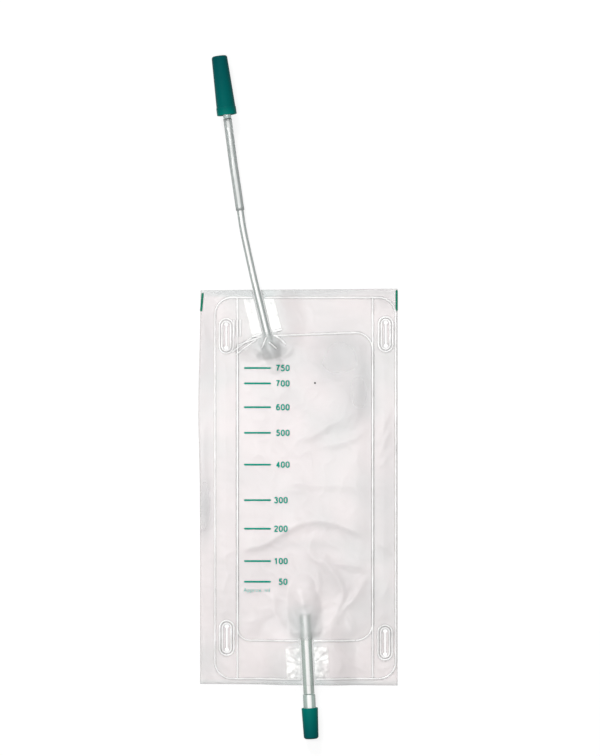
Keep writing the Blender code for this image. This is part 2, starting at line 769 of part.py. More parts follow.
def inlet_tubes():
    """The slim tube from the valve to its joint, and the wider one on to the connector."""
    corner = Vector((INLET.edge.x, INLET.edge.y))
    out = Vector((*INLET.outward, 0.0))
    end_way = Vector((*lean_out(CONNECTOR_LEAN), 0.0))
    slim_rest = inlet_tube_radius
    wide_rest = EXTENSION_TUBE_DIAMETER / 2

    def place(across, along, height):
        return Vector((corner.x + across, corner.y + along, height)) * MM

    joint = place(INLET_ROUTE[-1][0], INLET_ROUTE[-1][1], wide_rest + 0.1)
    knots = [INLET.point(STRAIGHT_OUT)]
    knots += [place(a, b, slim_rest + 0.1 + c) for a, b, c in INLET_ROUTE[:-1]]
    knots.append(joint)
    knots += [place(a, b, wide_rest + 0.1 + c) for a, b, c in EXTENSION_ROUTE]
    tail_end = place(*EXTENSION_END, INLET_CAP_MOUTH_DIAMETER / 2)
    knots += [tail_end - end_way * STRAIGHT_OUT * MM, tail_end]
    points, places = smooth_through(knots, out, end_way, 2.2 * INLET_TUBE_DIAMETER * MM)
    split = places[len(INLET_ROUTE)]
    gap = (points[split + 1] - points[split]).normalized() * FIT_CLEARANCE * MM
    slim = [INLET.point(-INLET_TUBE_INSIDE), INLET.point(0.0)] + points[:split + 1]
    wide = [points[split] + gap] + points[split + 1:]
    tube("inlet_tube", slim, INLET_TUBE_DIAMETER, CLEAR_TUBE)
    tube("extension_tube", wide, EXTENSION_TUBE_DIAMETER, CLEAR_TUBE)
    return points[-1], end_way


def build():
    clear_scene()
    collection = bpy.data.collections.new(OBJECT_NAME)
    bpy.context.scene.collection.children.link(collection)
    front_film()
    back_film()
    valve_flap("valve_flap_front", front_flap_height)
    valve_flap("valve_flap_back", back_flap_height)
    tail_end, end_way = inlet_tubes()
    mouth = tail_end + end_way * (CONNECTOR_TAIL + FIT_CLEARANCE) * MM
    aim(inlet_connector(), end_way, mouth)
    aim(inlet_cap(), end_way, mouth)
    aim(outlet_tube(), OUTLET.outward, OUTLET.point(0.0))
    aim(outlet_spigot(), OUTLET.outward, OUTLET.point(0.0))
    aim(outlet_cap(), OUTLET.outward, OUTLET.point(outlet_mouth))


build()
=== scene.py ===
# %% [markdown]
# # A urine drainage bag, laid flat
#
# The bag is two sheets of clear soft film, welded together along fine lines. A slim tube
# enters at the top through a welded pad, a wider one leaves at the bottom, and a teal cap
# closes each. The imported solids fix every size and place. This script gives them their looks.

# %% Load the frame
import math

import bmesh
import bpy
import numpy as np
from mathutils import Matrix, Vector, noise
from mathutils.geometry import delaunay_2d_cdt, interpolate_bezier


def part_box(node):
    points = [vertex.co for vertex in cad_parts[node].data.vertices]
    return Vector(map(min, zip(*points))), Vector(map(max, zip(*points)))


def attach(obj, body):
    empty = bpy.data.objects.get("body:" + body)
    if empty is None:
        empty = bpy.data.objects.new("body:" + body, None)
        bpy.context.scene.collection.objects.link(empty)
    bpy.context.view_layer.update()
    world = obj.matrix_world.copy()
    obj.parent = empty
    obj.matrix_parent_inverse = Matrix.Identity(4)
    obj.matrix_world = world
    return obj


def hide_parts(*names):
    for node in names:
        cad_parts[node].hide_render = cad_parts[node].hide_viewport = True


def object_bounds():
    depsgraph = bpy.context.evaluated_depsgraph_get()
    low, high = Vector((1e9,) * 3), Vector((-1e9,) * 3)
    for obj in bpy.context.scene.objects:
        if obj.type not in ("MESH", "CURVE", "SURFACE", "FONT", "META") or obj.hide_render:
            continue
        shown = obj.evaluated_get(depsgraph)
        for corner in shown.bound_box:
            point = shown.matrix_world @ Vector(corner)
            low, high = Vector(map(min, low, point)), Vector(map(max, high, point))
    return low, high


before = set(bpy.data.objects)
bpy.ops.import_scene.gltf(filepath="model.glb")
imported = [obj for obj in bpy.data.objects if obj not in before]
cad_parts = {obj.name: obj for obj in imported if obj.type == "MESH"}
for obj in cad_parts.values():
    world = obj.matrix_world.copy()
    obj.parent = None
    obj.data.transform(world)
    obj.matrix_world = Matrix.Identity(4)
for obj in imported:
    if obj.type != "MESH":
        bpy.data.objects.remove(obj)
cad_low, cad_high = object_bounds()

MM = 0.001
print("nodes:", sorted(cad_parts))

# %% [markdown]
# ## Camera, floor and light
#
# The bag is seen squarely from above, so a long lens looks straight down at it. The table is
# white to the camera, yet it must still show the bag's soft shadow. So part of its white is
# emission that only camera, glossy and transmission rays see, and the rest is lit by the
# lamps. The world is white to the same rays, and lights the bag with a part of that.

# %% Where a pixel of the photograph lies on the table
MM_PER_PIXEL = 0.78
PIXEL_AT_ORIGIN = (298.8, 514.0)
IMAGE_WIDTH, IMAGE_HEIGHT = 600, 756


def at_pixel(px, py):
    """Plan place in millimetres of a pixel of the 600 x 756 photograph."""
    return Vector(((px - PIXEL_AT_ORIGIN[0]) * MM_PER_PIXEL,
                   (PIXEL_AT_ORIGIN[1] - py) * MM_PER_PIXEL))


# %% Camera
LENS = 200.0
SENSOR = 36.0

scene = bpy.context.scene
scene.view_settings.view_transform = "Standard"


def linked(name, data):
    """A new object with this data, put into the scene."""
    made = bpy.data.objects.new(name, data)
    scene.collection.objects.link(made)
    return made


middle = at_pixel(IMAGE_WIDTH / 2, IMAGE_HEIGHT / 2) * MM
view_length = IMAGE_HEIGHT * MM_PER_PIXEL * MM
camera_data = bpy.data.cameras.new("camera")
camera_data.lens = LENS
camera_data.sensor_width = SENSOR
camera = linked("camera", camera_data)
camera.location = (middle.x, middle.y, view_length * LENS / SENSOR)
scene.camera = camera
print("camera height:", round(camera.location.z, 3), "m")


# %% Small helpers for shader nodes
def new_material(name):
    """A new node material, its tree and its shader."""
    material = bpy.data.materials.new(name)
    material.use_nodes = True
    shader = material.node_tree.nodes["Principled BSDF"]
    return material, material.node_tree, shader


def node(tree, kind, settings=(), **inputs):
    """Add a shader node; `settings` are its properties, keywords its input values."""
    made = tree.nodes.new(kind)
    for name, value in dict(settings).items():
        setattr(made, name, value)
    for name, value in inputs.items():
        socket = made.inputs[name.replace("_", " ")]
        if isinstance(value, bpy.types.NodeSocket):
            tree.links.new(value, socket)
        else:
            socket.default_value = value
    return made


# %% Shader values that come from noise, from other values and from the mesh
def object_noise(tree, scale, detail=3.0, stretch=(1.0, 1.0, 1.0)):
    """Noise on Object coordinates, `scale` in cycles a metre."""
    place = node(tree, "ShaderNodeTexCoord").outputs["Object"]
    mapped = node(tree, "ShaderNodeMapping", Vector=place, Scale=stretch).outputs["Vector"]
    made = node(tree, "ShaderNodeTexNoise", Vector=mapped, Scale=scale, Detail=detail)
    return made.outputs["Fac"]


def remap(tree, value, low, high, out_low, out_high):
    """Stretch the range from low to high to another range, and keep within it."""
    made = node(tree, "ShaderNodeMapRange", Value=value, From_Min=low, From_Max=high,
                To_Min=out_low, To_Max=out_high)
    return made.outputs["Result"]


def plug(tree, sockets, values):
    """Give each socket its value, which may come from another node."""
    for socket, value in zip(sockets, values):
        if isinstance(value, bpy.types.NodeSocket):
            tree.links.new(value, socket)
        elif socket.type == "RGBA":
            socket.default_value = (*value, 1.0)
        else:
            socket.default_value = value


def tint(tree, share, first, second):
    """Mix two colours by a share from 0 to 1."""
    made = node(tree, "ShaderNodeMix", {"data_type": "RGBA"})
    tree.links.new(share, made.inputs["Factor"])
    plug(tree, [socket for socket in made.inputs if socket.type == "RGBA"], (first, second))
    return [socket for socket in made.outputs if socket.type == "RGBA"][0]


def surface_share(tree, name):
    """A number stored at the points of the mesh."""
    return node(tree, "ShaderNodeAttribute", {"attribute_name": name}).outputs["Fac"]


# %% Colours and sums of such values
def mottled(tree, cloud, dark, light, low=0.3, high=0.7):
    """Two tones of one colour, mixed unevenly by a noise."""
    return tint(tree, remap(tree, cloud, low, high, 0.0, 1.0), dark, light)


def math_node(tree, operation, first, second=0.0):
    """One sum on numbers or sockets."""
    made = node(tree, "ShaderNodeMath", {"operation": operation})
    plug(tree, made.inputs, (first, second))
    return made.outputs[0]


def shade(tree, shader, **inputs):
    """Give the shader's inputs their values, which may come from other nodes."""
    for name, value in inputs.items():
        plug(tree, [shader.inputs[name.replace("_", " ")]], [value])


def bump(tree, shader, height, strength, distance):
    """Let a noise roughen how the surface reflects, in metres of depth."""
    made = node(tree, "ShaderNodeBump", Height=height, Strength=strength, Distance=distance)
    tree.links.new(made.outputs["Normal"], shader.inputs["Normal"])


# %% Floor and world
FLOOR_SIZE = 6.0
FLOOR_GAP = 0.0002
FLOOR_GLOW = 0.83
FLOOR_ALBEDO = 0.20
WORLD_LIGHT = 0.30


def seen_directly(tree):
    """1 for camera, glossy and transmission rays, 0 for the rays that light a surface."""
    path = node(tree, "ShaderNodeLightPath").outputs
    both = math_node(tree, "MAXIMUM", path["Is Camera Ray"], path["Is Glossy Ray"])
    return math_node(tree, "MAXIMUM", both, path["Is Transmission Ray"])


def floor_material():
    """White that the lamps light in part, so that it keeps the bag's shadow."""
    material = bpy.data.materials.new("white_table")
    material.use_nodes = True
    tree = material.node_tree
    tree.nodes.clear()
    lit = node(tree, "ShaderNodeBsdfDiffuse", Color=(FLOOR_ALBEDO,) * 3 + (1.0,))
    glow_strength = remap(tree, seen_directly(tree), 0.0, 1.0, 0.0, FLOOR_GLOW)
    glow = node(tree, "ShaderNodeEmission", Strength=glow_strength)
    total = node(tree, "ShaderNodeAddShader")
    tree.links.new(lit.outputs[0], total.inputs[0])
    tree.links.new(glow.outputs[0], total.inputs[1])
    out = node(tree, "ShaderNodeOutputMaterial")
    tree.links.new(total.outputs[0], out.inputs["Surface"])
    return material


floor_mesh = bpy.data.meshes.new("table")
half = FLOOR_SIZE / 2
floor_mesh.from_pydata([(-half, -half, 0.0), (half, -half, 0.0), (half, half, 0.0),
                        (-half, half, 0.0)], [], [(0, 1, 2, 3)])
floor_mesh.materials.append(floor_material())
floor = linked("table", floor_mesh)
floor.location.z = cad_low.z - FLOOR_GAP

world = bpy.data.worlds.new("studio")
world.use_nodes = True
scene.world = world
sky = world.node_tree.nodes["Background"]
sky.inputs["Color"].default_value = (1.0, 1.0, 1.0, 1.0)
sky_strength = remap(world.node_tree, seen_directly(world.node_tree), 0.0, 1.0, WORLD_LIGHT, 1.0)
world.node_tree.links.new(sky_strength, sky.inputs["Strength"])


# %% Lamps
BAG_MIDDLE = 0.05


def soft_lamp(name, place, size, power):
    """An area lamp, (across, along) metres. It faces the bag, a long one from straight beside."""
    data = bpy.data.lights.new(name, "AREA")
    data.shape = "RECTANGLE"
    data.size, data.size_y = size
    data.energy = power
    lamp = linked(name, data)
    lamp.location = place
    long_lamp = size[0] < size[1]
    aim = Vector((0.0, place[1] if long_lamp else BAG_MIDDLE, 0.0)) - Vector(place)
    lamp.rotation_euler = aim.to_track_quat("-Z", "Y").to_euler()


soft_lamp("key_lamp", (-0.85, 2.7, 2.1), (0.8, 0.8), 55.0)
soft_lamp("strip_lamp", (-0.25, 0.09, 1.15), (0.2, 1.3), 8.4)

# %% [markdown]
# ## The free tubes
#
# A slim tube runs from the valve inside the bag through the top pad and out over the table.
# A wider tube is joined on and ends in the capped connector. Both are real hollow tubes here,
# because clear tubing shows its wall as two grey edges. The bright stripe between them is a
# painted highlight in their finish.
# Each is swept along points read from one smooth curve, the same route as the solids follow.

# %% Sizes of the bag, in millimetres
film_low, film_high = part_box("front_film")
FILM_LEFT, FILM_RIGHT = film_low.x / MM, film_high.x / MM
FILM_BOTTOM, FILM_TOP = film_low.y / MM, film_high.y / MM
FILM_THICKNESS = 0.3
SHEET_STEP = 0.3
REST_PLANE = 0.45

WELD_LEFT, WELD_RIGHT = FILM_LEFT + 11.6, FILM_RIGHT - 1.4
WELD_TOP, WELD_BOTTOM = FILM_TOP - 6.2, FILM_BOTTOM + 4.6
CHAMBER_LEFT, CHAMBER_RIGHT = WELD_LEFT + 17.5, WELD_RIGHT - 18.0
CHAMBER_TOP, CHAMBER_BOTTOM = WELD_TOP - 27.4, WELD_BOTTOM + 29.8
BIG_CORNER, SMALL_CORNER = 13.3, 10.0
TOP_LEFT_STEP = 10.0
print("chamber:", round(CHAMBER_RIGHT - CHAMBER_LEFT, 1), "x",
      round(CHAMBER_TOP - CHAMBER_BOTTOM, 1), "mm")


# %% The two welded-in tubes
class Port:
    """A tube welded into the film's end. u runs across it and v into the bag, in millimetres.

    `channel` is the film's radius over the tube, `pad` the welded pad's half width, and
    `skirt` the half width of the film's drape beyond the weld. The pad's clouded patches end
    `patch_gap` before the weld does.
    """

    def __init__(self, edge, lean, up, radius, channel, height, pad, pad_start, weld_end,
                 patch_gap, tube_end, skirt):
        angle = math.radians(lean)
        self.edge = Vector(edge)
        self.out = Vector((-math.sin(angle), math.cos(angle))) * up
        self.radius, self.channel, self.height = radius, channel, height
        self.pad, self.pad_start, self.weld_end = pad, pad_start, weld_end
        self.tube_end, self.skirt = tube_end, skirt
        self.patch_end = weld_end - patch_gap

    def local(self, x, y):
        """(u, v) of a place in the plan."""
        dx, dy = x - self.edge.x, y - self.edge.y
        return dx * self.out.y - dy * self.out.x, -(dx * self.out.x + dy * self.out.y)

    def plan(self, u, v):
        """The place in the plan of (u, v)."""
        return self.edge - self.out * v + Vector((self.out.y, -self.out.x)) * u

    def point(self, outward):
        """A point of the tube's axis, so far outside the film's edge, in metres."""
        spot = self.edge + self.out * outward
        return Vector((spot.x, spot.y, self.height)) * MM


INLET_RADIUS, OUTLET_RADIUS = 2.7, 4.3
INLET = Port((-33.0, FILM_TOP), lean=13.6, up=1, radius=INLET_RADIUS, channel=3.65, height=3.8,
             pad=12.0, pad_start=6.2, weld_end=34.8, patch_gap=0.0, tube_end=40.0, skirt=12.0)
OUTLET = Port((7.6, FILM_BOTTOM), lean=2.9, up=-1, radius=OUTLET_RADIUS, channel=4.75,
              height=6.4, pad=16.8, pad_start=4.6, weld_end=34.4, patch_gap=5.0,
              tube_end=55.0, skirt=18.0)
PORTS = (INLET, OUTLET)

# %% The route of the inlet tubes: across and along from the film's top edge, and up, in mm
INLET_ROUTE = [(-4.7, 20.2, 0.7), (-7.8, 34.2, 0.1), (-10.6, 48.0, 0.2), (-12.6, 61.4, 0.6)]
EXTENSION_ROUTE = [(-15.6, 82.1, 0.0), (-18.0, 98.0, 0.7), (-20.2, 115.0, 3.1)]
EXTENSION_END = (-22.5, 132.8)
CONNECTOR_LEAN = math.radians(7.5)
STRAIGHT_OUT = 7.0
INLET_BORE = 1.75
EXTENSION_RADIUS, EXTENSION_BORE = 3.3, 2.1
INLET_CAP_MOUTH = 7.7
ROUTE_SPACING = 3.0
INSIDE_POINTS, INSIDE_SPACING = 12, 4.0
TABLE_GAP = 0.1
JOINT_GAP = 0.3


def smooth_through(points, start_way, end_way, spacing):
    """Points along a smooth curve through `points`, and where each of them falls."""
    ways = [start_way]
    ways += [(after - before).normalized() for before, after in zip(points, points[2:])]
    ways.append(end_way)
    result, places = [points[0]], [0]
    for i, (start, end) in enumerate(zip(points, points[1:])):
        third = (end - start).length / 3
        count = max(2, math.ceil(3 * third / spacing))
        handles = (start, start + ways[i] * third, end - ways[i + 1] * third, end)
        result += interpolate_bezier(*handles, count + 1)[1:]
        places.append(len(result) - 1)
    return result, places


def route_point(across, along, height):
    """A point of the free tubes, measured from where the slim one leaves the film."""
    return Vector((INLET.edge.x + across, INLET.edge.y + along, height)) * MM


connector_way = Vector((-math.sin(CONNECTOR_LEAN), math.cos(CONNECTOR_LEAN), 0.0))
slim_low, wide_low = INLET_RADIUS + TABLE_GAP, EXTENSION_RADIUS + TABLE_GAP
knots = [INLET.point(STRAIGHT_OUT)]
knots += [route_point(a, b, slim_low + c) for a, b, c in INLET_ROUTE[:-1]]
knots.append(route_point(*INLET_ROUTE[-1][:2], wide_low))
knots += [route_point(a, b, wide_low + c) for a, b, c in EXTENSION_ROUTE]
tail_end = route_point(*EXTENSION_END, INLET_CAP_MOUTH)
knots += [tail_end - connector_way * STRAIGHT_OUT * MM, tail_end]
route, places = smooth_through(knots, Vector((*INLET.out, 0.0)), connector_way,
                               ROUTE_SPACING * MM)
split = places[len(INLET_ROUTE)]
slim_path = [INLET.point(-INLET.tube_end + INSIDE_SPACING * i) for i in range(INSIDE_POINTS)]
first_way = route[1] - route[0]
slim_path = [p for p in slim_path if (p - route[0]).dot(first_way) < 0] + route[:split + 1]
step_way = (route[split + 1] - route[split]).normalized()
wide_path = [route[split] + step_way * JOINT_GAP * MM] + route[split + 1:]


def path_length(path):
    """Length of a line through points, in metres."""
    return sum((b - a).length for a, b in zip(path, path[1:]))


print("slim tube", round(path_length(slim_path), 4), "m, wide tube",
      round(path_length(wide_path), 4), "m")


# %% A hollow tube along a path
def frames_along(path):
    """Two cross directions at each point, which turn as little as possible along the path."""
    side = Vector((1.0, 0.0, 0.0))
    result = []
    for i in range(len(path)):
        way = (path[min(i + 1, len(path) - 1)] - path[max(i - 1, 0)]).normalized()
        side = (side - way * side.dot(way)).normalized()
        result.append((side, way.cross(side)))
    return result


def hollow_tube(name, path, outer, bores, sides, material):
    """A closed tube wall: outer skin, one rim, bore, other rim."""
    verts, faces = [], []
    crosses = frames_along(path)
    order = [(i, outer) for i in range(len(path))]
    order += [(i, bores[i]) for i in reversed(range(len(path)))]
    for i, radius in order:
        first, second = crosses[i]
        for k in range(sides):
            angle = 2 * math.pi * k / sides
            verts.append(path[i] + (first * math.cos(angle) + second * math.sin(angle)) * radius)
    rings = len(order)
    for ring in range(rings):
        after = (ring + 1) % rings
        for k in range(sides):
            near = (k + 1) % sides
            faces.append((ring * sides + k, ring * sides + near, after * sides + near,
                          after * sides + k))
    return mesh_piece(name, verts, faces, material)


def mesh_piece(name, verts, faces, material):
    """A smooth mesh object at the origin, with its faces turned outwards."""
    mesh = bpy.data.meshes.new(name)
    mesh.from_pydata([tuple(v) for v in verts], [], faces)
    form = bmesh.new()
    form.from_mesh(mesh)
    bmesh.ops.recalc_face_normals(form, faces=form.faces)
    form.to_mesh(mesh)
    form.free()
    mesh.shade_smooth()
    mesh.materials.append(material)
    return linked(name, mesh)


# %% [markdown]
# ## The finish of the tubes
#
# Soft tubing is clear but a little cloudy. Light from above shows its middle as a bright line
# between two grey walls, and here that line is a painted highlight. Plain glass would only
# mirror the white room, so the material mixes a cloudy body with some transmission. A share
# stored on the mesh says where the wall faces up, and so where the painted highlight goes,
# because that place moves with the curve of the tube.

# %% Clear tubing
# How upright the wall must be where the painted highlight starts and where it is full.
PAINTED_HIGHLIGHT_BAND = (0.90, 0.965)


def clear_tubing(name, colour, painted_highlight, clearness):
    """Soft, slightly cloudy tubing, with a painted highlight along its middle: whiter, less clear.
    """
    material, tree, shader = new_material(name)
    cloud = object_noise(tree, 70.0, 2.0)
    body = mottled(tree, cloud, colour, tuple(min(1.0, c * 1.06) for c in colour))
    # Painted highlight: whiter and less clear where the wall faces straight up or down.
    body = tint(tree, surface_share(tree, "painted_highlight"), body, painted_highlight)
    clear = remap(tree, surface_share(tree, "painted_highlight"), 0.0, 1.0, clearness, 0.2 * clearness)
    shade(tree, shader, Base_Color=body, Roughness=remap(tree, cloud, 0.3, 0.7, 0.14, 0.24),
          Transmission_Weight=clear, IOR=1.45)
    return material


def store_share(mesh, name, share):
    """Store a number at each point of the mesh, for its material to read."""
    layer = mesh.attributes.new(name, "FLOAT", "POINT")
    layer.data.foreach_set("value", np.ascontiguousarray(share, dtype=np.float32))


def mark_pale_line(piece):
    """Store where the wall faces straight up or down: the painted highlight goes there."""
    upright = np.array([abs(vertex.normal.z) for vertex in piece.data.vertices])
    low, high = PAINTED_HIGHLIGHT_BAND
    store_share(piece.data, "painted_highlight", np.clip((upright - low) / (high - low), 0.0, 1.0))


TUBE_SIDES = 80
JOINT_REACH, JOINT_CLEARANCE = 5.0, 0.06
# The third colour of each tubing is the colour of its painted highlight.
tube_clear = clear_tubing("clear_tubing", (0.57, 0.62, 0.605), (0.95, 0.94, 0.93), 0.5)
wide_clear = clear_tubing("clear_wide_tubing", (0.54, 0.58, 0.57), (0.74, 0.76, 0.75), 0.5)
slim_path += [wide_path[0].lerp(wide_path[1], k / 2) for k in range(3)]
slim_bores = [INLET_BORE * MM] * len(slim_path)
slim_tube = hollow_tube("slim_inlet_tube", slim_path, INLET_RADIUS * MM, slim_bores,
                        TUBE_SIDES, tube_clear)
reach = [path_length(wide_path[:i + 1]) / MM for i in range(len(wide_path))]
joint_bore = INLET_RADIUS + JOINT_CLEARANCE
wide_bores = [(joint_bore if at < JOINT_REACH else EXTENSION_BORE) * MM for at in reach]
wide_tube = hollow_tube("wide_inlet_tube", wide_path, EXTENSION_RADIUS * MM, wide_bores,
                        TUBE_SIDES, wide_clear)
for piece, cad_node in ((slim_tube, "inlet_tube"), (wide_tube, "extension_tube")):
    mark_pale_line(piece)
    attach(piece, "bag")
    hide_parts(cad_node)

# %% [markdown]
# ## Turned parts: caps, connector, spigot and outlet tube
#
# These were moulded, so each is round about its own axis. A half section turned about that
# axis gives the shape, and its corners are rounded first, because moulded plastic has no
# sharp edge and a rounded edge is what catches the light.


# %% Rounded half sections
def rounded(profile, fillet, steps=4, ring=False):
    """The half section with each corner off the axis rounded by up to `fillet`."""
    points = [Vector(p) for p in profile]
    count = len(points)
    result = []
    for i, corner in enumerate(points):
        if not ring and i in (0, count - 1):
            result.append(corner)
            continue
        before, after = points[i - 1], points[(i + 1) % count]
        reach = min(fillet, 0.4 * (before - corner).length, 0.4 * (after - corner).length)
        start = corner + (before - corner).normalized() * reach
        end = corner + (after - corner).normalized() * reach
        for k in range(steps + 1):
            t = k / steps
            result.append(start * (1 - t) ** 2 + corner * 2 * t * (1 - t) + end * t ** 2)
    return result


def turned(name, profile, mouth, way, sides, material, ring=False):
    """Turn a half section of (radius, distance) in millimetres about the axis at `mouth`."""
    across = Vector((way.y, -way.x, 0.0))
    other = way.cross(across)
    verts, faces, rings = [], [], []
    for radius, distance in profile:
        base = mouth + way * distance * MM
        if radius < 1e-6:
            rings.append([len(verts)])
            verts.append(base)
            continue
        rings.append([len(verts) + k for k in range(sides)])
        for k in range(sides):
            angle = 2 * math.pi * k / sides
            verts.append(base + (across * math.cos(angle) + other * math.sin(angle)) * radius * MM)
    pairs = list(zip(rings, rings[1:]))
    if ring:
        pairs.append((rings[-1], rings[0]))
    for one, two in pairs:
        for k in range(sides):
            near = (k + 1) % sides
            if len(one) == 1:
                faces.append((one[0], two[near], two[k]))
            elif len(two) == 1:
                faces.append((one[k], one[near], two[0]))
            else:
                faces.append((one[k], one[near], two[near], two[k]))
    return mesh_piece(name, verts, faces, material)


# %% [markdown]
# ## The caps
#
# Both caps are moulded in one dark teal plastic with a satin skin. A noise that is stretched
# along the cap makes its tone uneven. The wall is thin, so the mouth lets some light through;
# that paler glow is painted into the colour. A share stored on the mesh does that, because it
# follows each cap's axis.

# %% Moulded teal plastic
def moulded_teal():
    """Dark teal: a little uneven in tone and gloss, as moulded polythene is."""
    material, tree, shader = new_material("moulded_teal")
    cloud = object_noise(tree, 45.0, 4.0, (1.0, 0.35, 1.0))
    colour = mottled(tree, cloud, (0.0, 0.061, 0.066), (0.0, 0.088, 0.090))
    # Painted glow: paler near the mouth, for the light that the thin wall lets through.
    colour = tint(tree, surface_share(tree, "mouth"), colour, (0.0, 0.195, 0.155))
    soft = remap(tree, object_noise(tree, 400.0, 3.0), 0.3, 0.7, 0.30, 0.44)
    shade(tree, shader, Base_Color=colour, Roughness=soft, Specular_IOR_Level=0.04)
    bump(tree, shader, object_noise(tree, 700.0, 3.0, (1.0, 0.3, 1.0)), 0.12, 0.0003)
    return material


teal = moulded_teal()

# %% Inlet cap and outlet cap
CAP_WALL, CAP_END_WALL = 1.2, 1.6
INLET_CAP_LENGTH, INLET_CAP_END, INLET_CAP_BAND = 46.4, 6.1, 6.2
OUTLET_CAP_LENGTH, OUTLET_CAP_MOUTH, OUTLET_CAP_END = 24.2, 6.4, 5.75
END_CHAMFER, MOUTH_CHAMFER, BAND_STEP = 1.1, 0.35, 0.3
CAP_FILLET = 1.0
TAIL_SHOWING, OUTLET_CAP_START = 2.9, 17.6
TURN_SIDES = 96


def cap_section(length, mouth, end, band):
    """Closed-end cap in half section, from the closed end's centre round to its inside."""
    skin = [(0.0, length), (end - END_CHAMFER, length), (end, length - END_CHAMFER)]
    if band:
        skin += [(mouth - BAND_STEP, band), (mouth, band - BAND_STEP)]
    skin += [(mouth, MOUTH_CHAMFER), (mouth - MOUTH_CHAMFER, 0.0)]
    hollow = [(mouth - CAP_WALL, 0.0)]
    if band:
        hollow += [(mouth - CAP_WALL, band - BAND_STEP), (mouth - BAND_STEP - CAP_WALL, band)]
    hollow += [(end - CAP_WALL, length - CAP_END_WALL), (0.0, length - CAP_END_WALL)]
    return skin + hollow


inlet_mouth = tail_end + connector_way * TAIL_SHOWING * MM
outlet_way = Vector((*OUTLET.out, 0.0))
outlet_mouth = OUTLET.point(OUTLET_CAP_START)
inlet_section = cap_section(INLET_CAP_LENGTH, INLET_CAP_MOUTH, INLET_CAP_END, INLET_CAP_BAND)
outlet_section = cap_section(OUTLET_CAP_LENGTH, OUTLET_CAP_MOUTH, OUTLET_CAP_END, 0.0)
inlet_cap = turned("teal_inlet_cap", rounded(inlet_section, CAP_FILLET), inlet_mouth,
                   connector_way, TURN_SIDES, teal)
outlet_cap = turned("teal_outlet_cap", rounded(outlet_section, CAP_FILLET), outlet_mouth,
                    outlet_way, TURN_SIDES, teal)
print("caps:", INLET_CAP_LENGTH, "and", OUTLET_CAP_LENGTH, "mm long")

# %% The painted glow at the mouths of the caps
PAINTED_MOUTH_GLOW = 0.75
INLET_GLOW_REACH, OUTLET_GLOW_REACH = 6.0, 1.5


def mark_mouth(piece, mouth, way, reach):
    """Store how near the mouth each point is, for the painted glow of light through the thin wall.
    """
    along = np.array([(vertex.co - mouth).dot(way) / MM for vertex in piece.data.vertices])
    glow = PAINTED_MOUTH_GLOW * np.exp(-(np.maximum(along, 0.0) / reach) ** 2)
    store_share(piece.data, "mouth", glow)


mark_mouth(inlet_cap, inlet_mouth, connector_way, INLET_GLOW_REACH)
mark_mouth(outlet_cap, outlet_mouth, outlet_way, OUTLET_GLOW_REACH)
for piece, cad_node, body in ((inlet_cap, "inlet_cap", "inlet_cap_body"),
                              (outlet_cap, "outlet_cap", "outlet_cap_body")):
    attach(piece, body)
    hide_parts(cad_node)

# %% [markdown]
# ## The connector and the outlet
#
# The tapered connector holds a catheter by its ribs, and the outlet's spigot plugs the wide
# tube and carries the short cap. Both are hollow, so their half sections are closed rings.
# The ribs come from one loop, because each is the same step further up the taper.

# %% Connector under the inlet cap
CONNECTOR_RIBS, PLAIN_SHARE = 4, 0.2
CONNECTOR_BORE, CONNECTOR_LENGTH = 1.7, 43.0
NOSE_RADIUS, TIP_RADIUS, TAIL_RADIUS = 4.8, 3.0, 3.1
FLANGE_START, FLANGE_END, FLANGE_RADIUS = 1.6, 3.2, 6.1
RIB_LEAD, RIB_STEP = 0.35, 0.45
TAIL_START = -2.6
SMALL_FILLET, FEW_STEPS = 0.3, 3


def connector_section():
    """Bore, ribbed nose, flange and tail of the tapered connector."""
    length, tip = CONNECTOR_LENGTH, TIP_RADIUS
    first_rib = FLANGE_END + (length - FLANGE_END) * PLAIN_SHARE
    pitch = (length - first_rib) / CONNECTOR_RIBS
    taper = (NOSE_RADIUS - tip) / (length - first_rib)
    section = [(CONNECTOR_BORE, length), (tip - RIB_LEAD, length)]
    for rib in range(CONNECTOR_RIBS):
        near = length - rib * pitch
        far = near - pitch
        section.append((tip + (length - near) * taper, near - RIB_LEAD))
        section.append((tip + (length - far) * taper, far + RIB_STEP))
        section.append((tip + (length - far) * taper - RIB_STEP, far))
    section += [(NOSE_RADIUS - RIB_STEP, FLANGE_END), (FLANGE_RADIUS, FLANGE_END),
                (FLANGE_RADIUS, FLANGE_START), (TAIL_RADIUS, FLANGE_START)]
    return section + [(TAIL_RADIUS, TAIL_START), (CONNECTOR_BORE, TAIL_START)]


def milky_teal():
    """Tinted plastic that lets some light through."""
    material, tree, shader = new_material("milky_teal")
    cloud = object_noise(tree, 120.0, 3.0)
    colour = mottled(tree, cloud, (0.64, 0.80, 0.775), (0.76, 0.88, 0.86))
    shade(tree, shader, Base_Color=colour, Roughness=0.22, Transmission_Weight=0.3)
    return material


ribbed_section = rounded(connector_section(), SMALL_FILLET, FEW_STEPS, ring=True)
connector = turned("ribbed_connector", ribbed_section, inlet_mouth, connector_way,
                   TURN_SIDES, milky_teal(), ring=True)
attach(connector, "bag")
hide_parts("inlet_connector")

# %% Outlet tube and its spigot, as (radius, distance out from the film's edge)
OUTLET_BORE, OUTLET_FREE = 2.8, 6.7
SPIGOT_FILLET = 0.4
outlet_profile = [(radius, end) for radius, ends in (
    (OUTLET_RADIUS, (OUTLET_FREE, -OUTLET.tube_end)),
    (OUTLET_BORE, (-OUTLET.tube_end, OUTLET_FREE))) for end in ends]
spigot_profile = [(1.8, 39.6), (3.95, 39.6), (4.3, 39.25), (4.85, 17.6), (4.85, 7.35),
                  (4.5, 7.0), (2.5, 7.0), (2.5, -5.0), (1.8, -5.0)]
